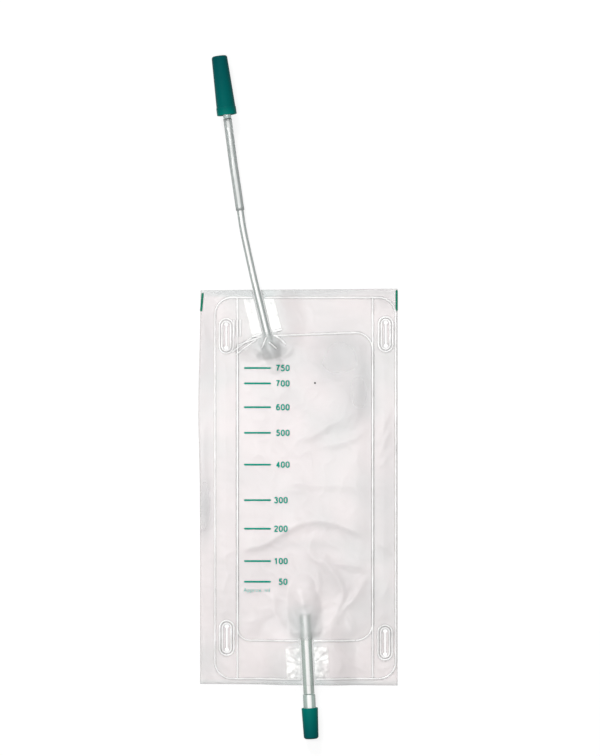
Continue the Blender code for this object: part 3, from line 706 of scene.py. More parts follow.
# The third colour of each tubing is the colour of its painted highlight.
outlet_clear = clear_tubing("clear_outlet_tubing", (0.56, 0.645, 0.60), (1.0, 0.99, 0.98), 0.5)
spigot_clear = clear_tubing("clear_spigot", (0.52, 0.63, 0.59), (1.0, 0.99, 0.98), 0.5)
outlet_profile = rounded(outlet_profile, SMALL_FILLET, FEW_STEPS, ring=True)
spigot_profile = rounded(spigot_profile, SPIGOT_FILLET, FEW_STEPS, ring=True)
outlet_tube = turned("clear_outlet_tube", outlet_profile, OUTLET.point(0.0), outlet_way,
                     TURN_SIDES, outlet_clear, ring=True)
spigot = turned("clear_spigot", spigot_profile, OUTLET.point(0.0), outlet_way, TURN_SIDES,
                spigot_clear, ring=True)
for piece, cad_node in ((outlet_tube, "outlet_tube"), (spigot, "outlet_spigot")):
    mark_pale_line(piece)
    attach(piece, "bag")
    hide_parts(cad_node)

# %% [markdown]
# ## The film
#
# Two soft sheets are welded along fine lines and lie slack between them. Their shape follows
# a rule: a sheet is pinned at each weld, rises a little away from it, and is draped round
# over each tube. On top of that come the folds that the photograph shows, and small random
# ripples. So the film is a dense net of triangles over the plan, with each point's height
# worked out from that rule, and Solidify gives it its thickness.


# %% Plan lines of the welds
def arc(centre, radius, start, end, steps=10):
    """Points of an arc between two angles in degrees."""
    angles = [math.radians(start + (end - start) * i / steps) for i in range(steps + 1)]
    return [Vector((centre[0] + radius * math.cos(a), centre[1] + radius * math.sin(a)))
            for a in angles]


def closed(line):
    """The line with its first point again at its end."""
    return line + [line[0]]


def outer_weld():
    """The weld that runs round the whole bag."""
    left, right, bottom, top = WELD_LEFT, WELD_RIGHT, WELD_BOTTOM, WELD_TOP
    r = BIG_CORNER
    return closed(arc((right - r, bottom + r), r, -90, 0) + arc((right - r, top - r), r, 0, 90)
                  + arc((left + r, top - r), r, 90, 180)
                  + arc((left + r, bottom + r), r, 180, 270))


def chamber_weld():
    """The weld round the chamber, cut off at the inlet's pad."""
    big, small = BIG_CORNER, SMALL_CORNER
    line = arc((CHAMBER_RIGHT - big, CHAMBER_BOTTOM + big), big, -90, 0)
    line += arc((CHAMBER_RIGHT - big, CHAMBER_TOP - big), big, 0, 90)
    line += [INLET.plan(-INLET.pad, INLET.weld_end), INLET.plan(INLET.pad, INLET.weld_end)]
    line.append(Vector((CHAMBER_LEFT, CHAMBER_TOP - TOP_LEFT_STEP)))
    line += arc((CHAMBER_LEFT + small, CHAMBER_BOTTOM + small), small, 180, 270)
    return closed(line)


def stadium(centre, length, width, steps=12):
    """A long outline with round ends."""
    radius = width / 2
    reach = length / 2 - radius
    upper = arc((centre[0], centre[1] + reach), radius, 0, 180, steps)
    return upper + arc((centre[0], centre[1] - reach), radius, 180, 360, steps)


SLIT_LENGTH, SLIT_END, SLIT_WAIST = 22.0, 3.6, 1.4
SLOT_PAD, SLOT_RIM = (27.0, 11.0), (23.0, 6.8)


def dog_bone(centre):
    """The slit of a strap button-hole: round ends and a narrow waist."""
    radius, half_waist = SLIT_END / 2, math.degrees(math.asin(SLIT_WAIST / SLIT_END))
    reach = SLIT_LENGTH / 2 - radius
    upper = arc((centre[0], centre[1] + reach), radius, -90 + half_waist, 270 - half_waist)
    lower = arc((centre[0], centre[1] - reach), radius, 90 + half_waist, 450 - half_waist)
    return upper + lower


LEFT_STRIP, RIGHT_STRIP = (WELD_LEFT + CHAMBER_LEFT) / 2, (WELD_RIGHT + CHAMBER_RIGHT) / 2
SLOT_CENTRES = [(LEFT_STRIP + 0.1, CHAMBER_TOP - 2.6), (LEFT_STRIP + 0.5, CHAMBER_BOTTOM + 2.0),
                (RIGHT_STRIP + 1.2, CHAMBER_TOP - 1.2), (RIGHT_STRIP + 0.7, CHAMBER_BOTTOM - 1.6)]
SLITS = [dog_bone(centre) for centre in SLOT_CENTRES]
SLOT_PADS = [stadium(centre, *SLOT_PAD) for centre in SLOT_CENTRES]
OUTER_WELD, CHAMBER_WELD = outer_weld(), chamber_weld()
SIDE_WELDS = [[Vector((x, WELD_BOTTOM)), Vector((x, WELD_TOP))]
              for x in (CHAMBER_LEFT, CHAMBER_RIGHT)]
print("slots at", [tuple(round(v, 1) for v in centre) for centre in SLOT_CENTRES])


# %% Distances in the plan, for many points at once
def segments(lines):
    """All starts and ends of the lines' straight pieces."""
    starts = np.array([p for line in lines for p in line[:-1]])
    ends = np.array([p for line in lines for p in line[1:]])
    return starts, ends


def distance_to(x, y, lines):
    """Distance from every point to the nearest of the segments, and its signed form."""
    starts, ends = lines
    best = np.full(len(x), 1e9)
    side = np.ones(len(x))
    for (ax, ay), (bx, by) in zip(starts, ends):
        dx, dy = bx - ax, by - ay
        share = ((x - ax) * dx + (y - ay) * dy) / max(dx * dx + dy * dy, 1e-9)
        share = np.clip(share, 0.0, 1.0)
        away = np.hypot(x - ax - share * dx, y - ay - share * dy)
        nearer = away < best
        best = np.where(nearer, away, best)
        side = np.where(nearer, np.sign(dx * (y - ay) - dy * (x - ax)), side)
    return best, best * side


def inside(x, y, outline):
    """True for the points inside the closed outline."""
    crossings = np.zeros(len(x), dtype=int)
    for a, b in zip(outline, outline[1:] + outline[:1]):
        if a.y != b.y:
            level = (a.y > y) != (b.y > y)
            crossings += level & (x < a.x + (y - a.y) * (b.x - a.x) / (b.y - a.y))
    return crossings % 2 == 1


def smooth(share):
    """An even ramp from 0 to 1 without a corner at either end."""
    share = np.clip(share, 0.0, 1.0)
    return share * share * (3.0 - 2.0 * share)


def ripple(x, y, size, seed):
    """Smooth noise from -1 to 1 with bumps about `size` millimetres across."""
    return np.array([noise.noise((a / size, b / size, seed)) for a, b in zip(x, y)])


# %% Folds of the front film, by pixel of the photograph: line, height, width of each side
FOLDS = [
    ([(243, 550), (263, 545), (280, 535), (296, 526), (310, 522), (325, 522), (343, 527),
      (359, 533), (373, 540), (386, 547), (396, 552)], 2.5, 13.0, 3.4),
    ([(284, 345), (304, 355), (320, 369), (330, 385), (343, 396), (355, 408)], 2.3, 15.0, 13.0),
    ([(354, 340), (359, 367), (359, 394), (352, 413)], 1.5, 9.0, 14.0),
    ([(331, 446), (345, 442), (357, 437), (373, 427)], 1.0, 7.0, 4.0),
    ([(312, 437), (330, 425), (350, 416), (373, 404)], 0.9, 7.0, 4.0),
    ([(324, 560), (333, 571), (340, 582), (343, 594), (337, 612), (323, 639)], 2.8, 4.0, 6.0),
    ([(326, 640), (341, 612), (356, 596), (366, 580), (373, 566)], 2.2, 4.0, 5.0),
    ([(311, 540), (309, 552), (318, 562), (336, 564), (355, 566), (371, 572)], 1.6, 6.0, 3.4),
    ([(274, 597), (275, 612), (283, 626), (293, 636)], 1.5, 4.5, 4.0),
    ([(289, 607), (296, 599), (306, 600), (312, 607)], 1.3, 3.0, 3.0),
    ([(285, 617), (293, 607), (303, 607)], 1.1, 3.0, 3.0),
    ([(296, 483), (313, 486), (336, 486), (363, 488)], 0.8, 7.0, 5.0),
    ([(262, 360), (276, 372), (282, 392)], 1.0, 7.0, 8.0),
    ([(240, 425), (252, 440), (258, 455)], 0.7, 6.0, 6.0),
    ([(347, 612), (352, 622), (352, 636)], 1.4, 4.0, 4.0),
    ([(316, 560), (319, 585), (313, 606)], 1.3, 3.0, 6.0),
    ([(256, 347), (262, 353), (275, 351), (285, 356), (292, 349)], 1.8, 8.0, 3.0),
    ([(268, 337), (264, 343), (261, 349)], 1.2, 1.6, 1.8),
    ([(270, 337), (277, 343), (284, 351)], 1.2, 1.8, 1.6),
    ([(276, 331), (286, 341), (297, 346)], 1.4, 4.0, 2.6),
    ([(262, 336), (252, 342), (245, 351)], 1.1, 2.6, 3.0),
]
STRIP_FOLDS = [
    ([(393, 408), (383, 428), (378, 441)], 1.5, 3.0, 4.0),
    ([(395, 424), (386, 440), (377, 462)], 1.4, 2.6, 3.4),
    ([(396, 448), (379, 468)], 1.0, 2.0, 3.0),
    ([(375, 541), (386, 549), (396, 556)], 1.5, 5.0, 3.0),
    ([(376, 602), (384, 594), (392, 578)], 1.1, 3.0, 3.0),
    ([(206, 428), (204, 455), (207, 485), (204, 528)], 1.6, 5.0, 3.5),
    ([(204, 330), (211, 360), (209, 395)], 1.2, 5.0, 5.0),
    ([(222, 392), (228, 410), (236, 424)], 0.8, 3.0, 4.0),
    ([(216, 566), (226, 556), (236, 549)], 0.8, 3.0, 3.0),
    ([(222, 590), (230, 575), (237, 570)], 0.9, 3.0, 3.0),
    ([(340, 650), (352, 664), (368, 672)], 1.3, 4.0, 4.0),
    ([(334, 648), (341, 660), (338, 676)], 1.2, 3.0, 3.0),
    ([(306, 294), (322, 296), (352, 294), (378, 296), (392, 304)], 1.1, 2.0, 3.5),
    ([(230, 293), (243, 294), (256, 291)], 0.9, 2.0, 2.5),
    ([(271, 290), (276, 298)], 1.3, 1.3, 1.6),
    ([(282, 289), (279, 299)], 1.3, 1.6, 1.3),
    ([(232, 328), (240, 312), (252, 306)], 0.7, 4.0, 4.0),
    ([(205, 645), (209, 670), (222, 682)], 0.9, 4.0, 4.0),
    ([(262, 681), (285, 682)], 0.8, 2.0, 2.0),
    ([(332, 682), (360, 682)], 0.8, 2.0, 2.0),
]


def bent(points, spacing=2.0):
    """The fold's line in millimetres, smooth through its pixels."""
    knots = [at_pixel(*p).to_3d() for p in points]
    if len(knots) == 2:
        knots.insert(1, knots[0].lerp(knots[1], 0.5))
    first, last = (knots[1] - knots[0]).normalized(), (knots[-1] - knots[-2]).normalized()
    return [p.to_2d() for p in smooth_through(knots, first, last, spacing)[0]]


def fold_relief(x, y, folds):
    """Height of the folds: sharp along the line, steeper on one side than on the other."""
    total = np.zeros(len(x))
    for points, height, left, right in folds:
        line = bent(points)
        away, signed = distance_to(x, y, segments([line]))
        width = np.where(signed > 0, left, right)
        rounding = 0.02 + 0.0025 * min(left, right) ** 2
        crest = np.exp(-np.sqrt((away / width) ** 2 + rounding) * 1.6) * height * 1.25
        total = np.maximum(total, crest) + 0.25 * np.minimum(total, crest)
    return total


# %% Where the sheets are welded
def weld_distance(x, y):
    """Distance to the nearest weld line or welded pad, 0 inside a pad."""
    lines = [OUTER_WELD, CHAMBER_WELD] + SIDE_WELDS + [closed(pad) for pad in SLOT_PADS]
    away = distance_to(x, y, segments(lines))[0]
    for pad in SLOT_PADS:
        away = np.where(inside(x, y, pad), 0.0, away)
    for port in PORTS:
        u, v = port.local(x, y)
        out_v = np.maximum(np.maximum(port.pad_start - v, v - port.weld_end), 0.0)
        away = np.minimum(away, np.hypot(np.maximum(np.abs(u) - port.pad, 0.0), out_v))
    return away


# %% Where the film is clouded, tight on a tube, or cooler
def in_pad(x, y):
    """1 inside the white welded pads beside the tubes, fading over their edge."""
    share = np.zeros(len(x))
    for port in PORTS:
        u, v = port.local(x, y)
        start = WELD_TOP - 0.8 - y if port is INLET else v - port.pad_start - 0.6
        edge = np.minimum(np.minimum(port.pad - np.abs(u), start), port.patch_end - v)
        beside_tube = np.abs(u) - port.radius - 0.9
        patch = smooth(np.minimum(edge, beside_tube) / 0.7)
        # Uneven clouding, and painted shade of the crumples: the share dips in grey patches.
        base, swing = (0.62, 1.1) if port is OUTLET else (0.92, 0.7)
        patch = patch * np.clip(base + swing * ripple(x, y, 4.0, 3.7), 0.15, 1.0)
        share = np.maximum(share, patch)
    return share


def tight_share(x, y):
    """1 where the film lies tight on a tube."""
    share = np.zeros(len(x))
    for port in PORTS:
        u, v = port.local(x, y)
        across = (port.radius + 1.0 - np.abs(u)) / 0.8
        share = np.maximum(share, smooth(np.minimum(across, (port.weld_end + 2.0 - v) / 2.0)))
    return share


def cool_share(x, y):
    """Where the film looks cooler: by the tubes, in the end margins and in a few patches."""
    patches = 0.05 + 0.5 * ripple(x, y, 55.0, 4.4) + 0.3 * ripple(x, y, 19.0, 7.7)
    for port in PORTS:
        u, v = port.local(x, y)
        away = np.hypot(u, np.maximum(v - port.tube_end, 0.0))
        patches = patches + 0.8 * np.exp(-(away / 13.0) ** 2)
    margin = np.maximum(y - WELD_TOP, WELD_BOTTOM - y)
    return np.clip(patches + 0.5 * smooth(margin / 2.0), 0.0, 1.0)


# %% Broad zones of painted shade, by pixel of the photograph: place, half width, half height, strength
PAINTED_SHADE_ZONES = [
    ((322, 368), 18, 26, 0.38), ((350, 366), 22, 36, 0.40), ((362, 396), 14, 26, 0.25),
    ((208, 345), 9, 40, 0.35), ((205, 505), 8, 34, 0.75), ((330, 292), 50, 4, 0.45),
    ((385, 300), 16, 12, 0.35), ((352, 590), 30, 22, 0.25), ((300, 625), 34, 16, 0.25),
    ((388, 500), 10, 70, 0.2), ((256, 345), 14, 9, 0.15), ((285, 347), 14, 9, 0.2),
    ((300, 684), 110, 3, 0.35), ((232, 292), 34, 3, 0.4), ((300, 545), 50, 6, 0.2),
]


def dull_share(x, y):
    """Painted shade: soft grey where the film lies away from the white table and in its folds."""
    share = 0.06 + 0.22 * ripple(x, y, 30.0, 2.8)
    for (px, py), width, height, strength in PAINTED_SHADE_ZONES:
        spot = at_pixel(px, py)
        away = ((x - spot.x) / width) ** 2 + ((y - spot.y) / height) ** 2
        share = share + strength * np.exp(-away / MM_PER_PIXEL ** 2)
    return np.clip(share, 0.0, 1.0)


# %% Height of the welds, and the drape over the tubes
PLANE_FALL, PLANE_LEAD = 23.0, 16.0
SLACK_REACH = 8.0
FADE = 42.0


def weld_plane(x, y):
    """Height at which the sheets are welded: it rises to each tube's axis."""
    height = np.full(len(x), REST_PLANE)
    for port in PORTS:
        u, v = port.local(x, y)
        out_v = np.maximum(np.maximum(-PLANE_LEAD - v, v - port.weld_end), 0.0)
        away = np.hypot(np.maximum(np.abs(u) - port.pad, 0.0), out_v)
        height += (port.height - REST_PLANE) * (1.0 - smooth(away / PLANE_FALL))
    return height


def cover(port, u, v, plane, radius, skirt):
    """Height over the weld plane of a sheet laid over the tube."""
    slackness = smooth((v - port.weld_end) / SLACK_REACH)
    round_part = np.sqrt(np.maximum(0.0, 1.0 - (u / radius) ** 2))
    slack_part = 0.5 * (1.0 + np.cos(np.pi * np.minimum(1.0, np.abs(u) / skirt)))
    fade = 1.0 - smooth((v - port.tube_end) / FADE)
    crest = port.height + radius + 0.6 * slackness
    drape = (1.0 - slackness) * round_part + slackness * slack_part
    away = np.hypot(u, v - port.weld_end)
    bearing = np.arctan2(u, v - port.weld_end + 4.0)
    pleats = ripple(bearing * 9.0, away * 0.22, 2.6, 5.9)
    free = np.maximum(smooth((v - port.tube_end - 1.0) / 9.0), smooth((np.abs(u) - radius) / 5.0))
    return (crest - plane) * drape * fade * (1.0 + 0.45 * pleats * free * slackness)


# %% Height of both sheets over the table
LOOSE_REACH, CLOSE_REACH = 9.0, 2.5
CHAMBER_RISE, STRIP_RISE = 1.1, 0.5


def sheets(x, y):
    """Middle heights of the front and the back sheet, and how clouded their pads are."""
    plane = weld_plane(x, y)
    away = weld_distance(x, y)
    loose = 1.0 - np.exp(-(away / LOOSE_REACH) ** 2)
    close = 1.0 - np.exp(-(away / CLOSE_REACH) ** 2)
    chamber = inside(x, y, CHAMBER_WELD[:-1])
    pads = in_pad(x, y)

    broad = ripple(x, y, 34.0, 3.1) + 0.5 * ripple(x, y, 15.0, 8.7)
    fine = 1.0 - np.abs(ripple(x, y, 11.0, 5.3)) * 2.2
    crumple = np.maximum(0.0, fine) ** 3
    pucker = ripple(x * 0.35, y, 4.5, 1.9) * np.exp(-away / 7.0) * close

    uneven = 0.85 + 0.35 * ripple(x, y, 26.0, 6.6)
    chamber_rise = (CHAMBER_RISE + uneven * fold_relief(x, y, FOLDS) + 0.5 * broad
                    + 0.22 * crumple)
    strip_rise = STRIP_RISE + uneven * fold_relief(x, y, STRIP_FOLDS) + 0.2 * crumple
    rise = SHEET_STEP + np.where(chamber, chamber_rise * loose, strip_rise * loose)
    rise += 0.32 * np.maximum(pucker, -0.5) * close
    crinkle = np.zeros(len(x))
    for port, depth in ((INLET, 0.3), (OUTLET, 0.62)):
        u, v = port.local(x, y)
        bearing = np.arctan2(v - 18.0, np.abs(u) - port.radius + 3.0) * 7.0
        rays = 1.0 - np.abs(ripple(bearing, np.abs(u) * 0.25, 2.4, 2.2)) * 2.2
        in_patch = smooth((port.pad - np.abs(u)) / 1.5) * smooth((np.abs(u) - port.radius) / 2.5)
        in_patch *= smooth((v - port.pad_start) / 2.0) * smooth((port.weld_end - 3.0 - v) / 3.0)
        crinkle += depth * in_patch * (rays + 0.5 * ripple(x, y, 2.0, 6.1))
    drop = np.full(len(x), SHEET_STEP)
    for port in PORTS:
        u, v = port.local(x, y)
        rise = np.maximum(rise, cover(port, u, v, plane, port.channel, port.skirt))
        under = np.sqrt(np.maximum(0.0, port.channel ** 2 - u ** 2))
        drop = np.maximum(drop, under * (1.0 - smooth((v - port.tube_end - 2.0) / 8.0)))
    sunk = np.where(chamber, REST_PLANE + (plane - REST_PLANE) * (1.0 - loose) ** 2, plane)
    lift = np.maximum(0.0, ripple(x, y, 22.0, 9.4)) * 0.5 * close * (~(pads > 0.0))
    back = np.maximum(FILM_THICKNESS / 2, sunk - drop + lift * np.where(chamber, 1.0, 0.3))
    front = np.maximum(plane + rise + crinkle, back + 2 * SHEET_STEP)
    return front, back + crinkle * (back > 1.0), pads


# %% [markdown]
# ## The net of the film
#
# The film has to bend along its welds and end at its cut edges and slits. A plain grid would
# cross them. So the points of every such line are joined first, and an even net of points
# fills the rest of the plan. A Delaunay triangulation keeps the lines as edges.

# %% Cut edges that aren't quite square
def edge_wave(x, y):
    """Where a point of the plan goes, because the sheets aren't cut quite square."""
    down = (FILM_TOP - y) / (FILM_TOP - FILM_BOTTOM)
    bow = 0.4 * np.exp(-(down / 0.1) ** 2) - 1.3 * np.exp(-((down - 0.30) / 0.14) ** 2)
    across = bow * smooth((WELD_LEFT - x) / (WELD_LEFT - FILM_LEFT))
    tilt = (x - FILM_LEFT) / (FILM_RIGHT - FILM_LEFT) - 0.45
    margin = np.where(y > WELD_TOP, (y - WELD_TOP) / (FILM_TOP - WELD_TOP), 0.0)
    margin -= np.where(y < WELD_BOTTOM, (WELD_BOTTOM - y) / (WELD_BOTTOM - FILM_BOTTOM), 0.0)
    return x + across, y + 1.3 * tilt * margin


# %% Lines that the net has to keep
FILM_NET = 1.4
PAD_NET = 0.7


def divided(line, longest):
    """The line with points added, so that no piece of it is longer than `longest`."""
    result = [line[0]]
    for start, end in zip(line, line[1:]):
        count = max(1, math.ceil((end - start).length / longest))
        result += [start.lerp(end, i / count) for i in range(1, count + 1)]
    return result


def channel_lines(port):
    """Lines along the tube that keep the film round over it."""
    lines = []
    film_edge = FILM_TOP if port is INLET else FILM_BOTTOM
    inner = max(port.tube_end, port.weld_end + 8.0)
    for angle in (2, 15, 30, 45, 60, 75, 90, 105, 120, 135, 150, 165, 178):
        u = port.channel * math.cos(math.radians(angle))
        end, start = port.plan(u, inner), port.plan(u, 0.0)
        start = end.lerp(start, (film_edge - end.y) / (start.y - end.y))
        lines.append(divided([start, end], FILM_NET))
    return lines


# %% An even net between the lines
def film_net(outline, lines, holes, net, extra=()):
    """Points and triangles over the outline, with every line kept as edges."""
    points, edges = [], []
    for line in lines:
        first = len(points)
        points += line
        edges += [(first + i, first + i + 1) for i in range(len(line) - 1)]
    xs, ys = [p.x for p in outline], [p.y for p in outline]
    columns, rows = round((max(xs) - min(xs)) / net), round((max(ys) - min(ys)) / net)
    grid = [(min(xs) + (c + 0.25 + 0.5 * (r % 2)) * net, min(ys) + (r + 0.5) * net)
            for r in range(rows) for c in range(columns)]
    gx, gy = np.array([g[0] for g in grid]), np.array([g[1] for g in grid])
    keep = inside(gx, gy, outline) & (distance_to(gx, gy, segments(lines))[0] > 0.5 * net)
    points += [Vector(g) for g, kept in zip(grid, keep) if kept]
    points += extra
    plan, _, faces, *_ = delaunay_2d_cdt(points, edges, [], 0, 0.01, True)
    px, py = np.array([p.x for p in plan]), np.array([p.y for p in plan])
    corners = np.array(faces)
    cx, cy = px[corners].mean(axis=1), py[corners].mean(axis=1)
    a, b, c = (np.stack((px[corners[:, i]], py[corners[:, i]])) for i in range(3))
    area = (b[0] - a[0]) * (c[1] - a[1]) - (b[1] - a[1]) * (c[0] - a[0])
    wanted = inside(cx, cy, outline) & (area > 0.002)
    for hole in holes:
        wanted &= ~inside(cx, cy, hole)
    corners = corners[wanted]
    used = np.unique(corners)
    number = np.zeros(len(px), dtype=int)
    number[used] = np.arange(len(used))
    return px[used], py[used], number[corners]


# %% From net to film
def sheet_piece(name, x, y, z, faces, thickness, material, **shares):
    """A film of even thickness from plan places, heights and triangles, in millimetres."""
    mesh = bpy.data.meshes.new(name)
    verts = np.stack((*edge_wave(x, y), z), axis=1) * MM
    mesh.from_pydata(verts.tolist(), [], faces.tolist())
    for title, share in shares.items():
        store_share(mesh, title, share)
    mesh.shade_smooth()
    mesh.materials.append(material)
    piece = linked(name, mesh)
    wall = piece.modifiers.new("thickness", "SOLIDIFY")
    wall.thickness = thickness * MM
    wall.offset = 0.0
    return piece


# %% [markdown]
# ## The look of the film
#
# Clear film over a white table is nearly white itself. What shows is a slight grey, its gloss
# and the clouded pads. A refracting shader would be slow and noisy through so many layers,
# so each sheet is a thin coat with a low alpha. Shares stored on the mesh say where it is
# clouded, tight on a tube, cooler, or greyed by painted shade.

# %% The look of the film
def lets_lamps_through(tree, shader, alpha, kept=0.25):
    """Thin film scatters lamp light onwards, so it throws hardly any shadow on what is below."""
    lamp_ray = node(tree, "ShaderNodeLightPath").outputs["Is Shadow Ray"]
    passed = remap(tree, lamp_ray, 0.0, 1.0, 1.0, kept)
    tree.links.new(math_node(tree, "MULTIPLY", alpha, passed), shader.inputs["Alpha"])


# The third tone is the grey of painted shade, for film that would lie in shade.
FILM_WARM, FILM_COOL, FILM_PAINTED_SHADE = (0.76, 0.70, 0.70), (0.58, 0.625, 0.615), (0.40, 0.40, 0.405)
CLOUDED = (0.93, 0.925, 0.915)


def film_material(name, opacity):
    """Clear soft film, a little cloudy: warm grey, cooler by the tubes, white in the pads."""
    material, tree, shader = new_material(name)
    clouded, tight = surface_share(tree, "clouded"), surface_share(tree, "tight")
    tone = tint(tree, surface_share(tree, "cool"), FILM_WARM, FILM_COOL)
    # Painted shade: broad grey zones where the film would lie in shade.
    tone = tint(tree, surface_share(tree, "painted_shade"), tone, FILM_PAINTED_SHADE)
    speckle = remap(tree, object_noise(tree, 50.0, 1.0), 0.3, 0.7, 0.0, 0.06)
    tone = tint(tree, speckle, tone, CLOUDED)
    tone = tint(tree, clouded, tone, CLOUDED)
    solid = remap(tree, clouded, 0.0, 1.0, opacity, 0.8)
    clear = remap(tree, tight, 0.0, 1.0, 1.0, 0.18)
    lets_lamps_through(tree, shader, math_node(tree, "MULTIPLY", solid, clear))
    shade(tree, shader, Base_Color=tone, Roughness=remap(tree, clouded, 0.0, 1.0, 0.36, 0.42),
          IOR=1.6)
    bump(tree, shader, object_noise(tree, 110.0, 2.0), 0.12, 0.0008)
    return material


front_look = film_material("clear_film_front", 0.36)
back_look = film_material("clear_film_back", 0.30)

# %% Build both sheets on one net
outline = [Vector((FILM_LEFT, FILM_BOTTOM)), Vector((FILM_RIGHT, FILM_BOTTOM)),
           Vector((FILM_RIGHT, FILM_TOP)), Vector((FILM_LEFT, FILM_TOP))]
net_lines = [divided(closed(outline), FILM_NET)]
net_lines += [divided(line, FILM_NET) for line in [OUTER_WELD, CHAMBER_WELD] + SIDE_WELDS]
net_lines += [closed(line) for line in SLOT_PADS + SLITS]
for port in PORTS:
    net_lines += channel_lines(port)


def pad_patches(port):
    """The outlines of the white patch on each side of the tube."""
    patches = []
    for side in (-1, 1):
        near, far = side * (port.radius + 1.3), side * port.pad
        starts = [port.pad_start + 0.6] * 2
        if port is INLET:
            starts = [(port.plan(u, 0.0).y - WELD_TOP + 0.8) / port.out.y for u in (near, far)]
        corners = [(near, starts[0]), (far, starts[1]), (far, port.patch_end),
                   (near, port.patch_end)]
        patches.append([port.plan(u, v) for u, v in corners])
    return patches


def pad_points(port):
    """A fine grid of points in both patches."""
    patches = pad_patches(port)
    xs = np.arange(-port.pad, port.pad, PAD_NET)
    vs = np.arange(port.pad_start, port.weld_end, PAD_NET)
    return [port.plan(u + 0.25 * PAD_NET * (j % 2), v) for u in xs for j, v in enumerate(vs)
            if port.radius + 1.9 < abs(u) < port.pad - 0.5 and v < port.weld_end - 0.6]


fine_points = pad_points(INLET) + pad_points(OUTLET)
for port in PORTS:
    net_lines += [divided(closed(patch), PAD_NET) for patch in pad_patches(port)]
net_x, net_y, net_faces = film_net(outline, net_lines, SLITS, FILM_NET, fine_points)
front_z, back_z, pad_share = sheets(net_x, net_y)
shares = {"clouded": pad_share, "tight": tight_share(net_x, net_y),
          "cool": cool_share(net_x, net_y), "painted_shade": dull_share(net_x, net_y)}
front_film = sheet_piece("front_sheet", net_x, net_y, front_z, net_faces, FILM_THICKNESS,
                         front_look, **shares)
back_film = sheet_piece("back_sheet", net_x, net_y, back_z, net_faces, FILM_THICKNESS,
                        back_look, **shares)
for piece, cad_node in ((front_film, "front_film"), (back_film, "back_film")):
    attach(piece, "bag")
    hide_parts(cad_node)
print("film net:", len(net_x), "points,", len(net_faces), "triangles a side")

# %% [markdown]
# ## Weld beads
#
# A weld squeezes both sheets into one and leaves a fine, clouded bead. On a real bag it is
# the brightest line of the film. Two flat ellipses are swept along every weld line, laid on
# the front sheet: a wide grey one of painted shade beside the bead, and a narrow white one for
# the bead.
# Geometry Nodes do that in one go: curve in, mesh out.

# %% A node tree that sweeps a bead along curves
BEAD_WIDTH, BEAD_HEIGHT = 1.15, 0.5
# The flank sweep is a band of painted shade along each weld; the bead is the weld itself.
SHADE_BAND_WIDTH, SHADE_BAND_HEIGHT = 2.6, 0.12
BEAD_LIFT, SHADE_BAND_LIFT = 0.10, 0.06
BEAD_SPACING, SHADE_BAND_SPACING = 0.9, 1.2


def sweep_tree():
    """Geometry Nodes: sweep a flat ellipse along curves, with round ends on open ones."""
    tree = bpy.data.node_groups.new("bead along lines", "GeometryNodeTree")
    face = tree.interface
    for name, kind in (("Curves", "Geometry"), ("Width", "Float"), ("Height", "Float"),
                       ("Finish", "Material")):
        face.new_socket(name, in_out="INPUT", socket_type="NodeSocket" + kind)
    face.new_socket("Mesh", in_out="OUTPUT", socket_type="NodeSocketGeometry")
    come = tree.nodes.new("NodeGroupInput")
    go = tree.nodes.new("NodeGroupOutput")
    share = node(tree, "GeometryNodeSplineParameter")
    whole = node(tree, "GeometryNodeSplineLength").outputs["Length"]
    left = share.outputs["Length"]
    right = math_node(tree, "SUBTRACT", whole, left)
    nearest = math_node(tree, "MINIMUM", left, right)
    reach = math_node(tree, "DIVIDE", nearest, math_node(tree, "MULTIPLY",
                                                         come.outputs["Width"], 0.5))
    short = math_node(tree, "SUBTRACT", 1.0, math_node(tree, "MINIMUM", reach, 1.0))
    rounding = math_node(tree, "SUBTRACT", 1.0, math_node(tree, "MULTIPLY", short, short))
    tip = math_node(tree, "SQRT", math_node(tree, "MAXIMUM", rounding, 0.02))
    ring = node(tree, "GeometryNodeInputSplineCyclic").outputs[0]
    radius = math_node(tree, "MAXIMUM", tip, ring)
    circle = node(tree, "GeometryNodeCurvePrimitiveCircle", Resolution=10, Radius=0.5)
    scale = node(tree, "ShaderNodeCombineXYZ", X=come.outputs["Width"],
                 Y=come.outputs["Height"], Z=1.0)
    flat = node(tree, "GeometryNodeTransform", Geometry=circle.outputs["Curve"],
                Scale=scale.outputs[0])
    swept = node(tree, "GeometryNodeCurveToMesh", Curve=come.outputs["Curves"],
                 Profile_Curve=flat.outputs[0], Scale=radius, Fill_Caps=True)
    real = node(tree, "GeometryNodeRealizeInstances", Geometry=swept.outputs[0])
    given = node(tree, "GeometryNodeSetMaterial", Geometry=real.outputs[0],
                 Material=come.outputs["Finish"])
    tree.links.new(given.outputs[0], go.inputs["Mesh"])
    return tree


bead_tree = sweep_tree()


def evaluated_mesh(holder):
    """What the holder's nodes, or its text, come to. The holder itself is removed."""
    bpy.context.view_layer.update()
    graph = bpy.context.evaluated_depsgraph_get()
    mesh = bpy.data.meshes.new_from_object(holder.evaluated_get(graph))
    bpy.data.objects.remove(holder)
    return mesh


def made_real(holder, name):
    """The result of an object's Geometry Nodes as a plain piece."""
    mesh = evaluated_mesh(holder)
    mesh.name = name
    mesh.shade_smooth()
    return linked(name, mesh)


# %% Lay the weld lines on the front sheet
def weld_look(name, dark, light, faintest, densest):
    """Film of a weld, or the painted shade beside it: its colour between two, and how far it hides
    what is below.
    """
    material, tree, shader = new_material(name)
    cloud = object_noise(tree, 70.0, 4.0)
    lets_lamps_through(tree, shader, remap(tree, cloud, 0.3, 0.7, faintest, densest))
    shade(tree, shader, Base_Color=mottled(tree, cloud, dark, light), Roughness=0.25)
    return material


def on_front(x, y, above):
    """Places on the front sheet's upper face, in metres."""
    x, y = np.asarray(x, dtype=float), np.asarray(y, dtype=float)
    z = sheets(x, y)[0] + FILM_THICKNESS / 2 + above
    return np.stack((*edge_wave(x, y), z), axis=1) * MM


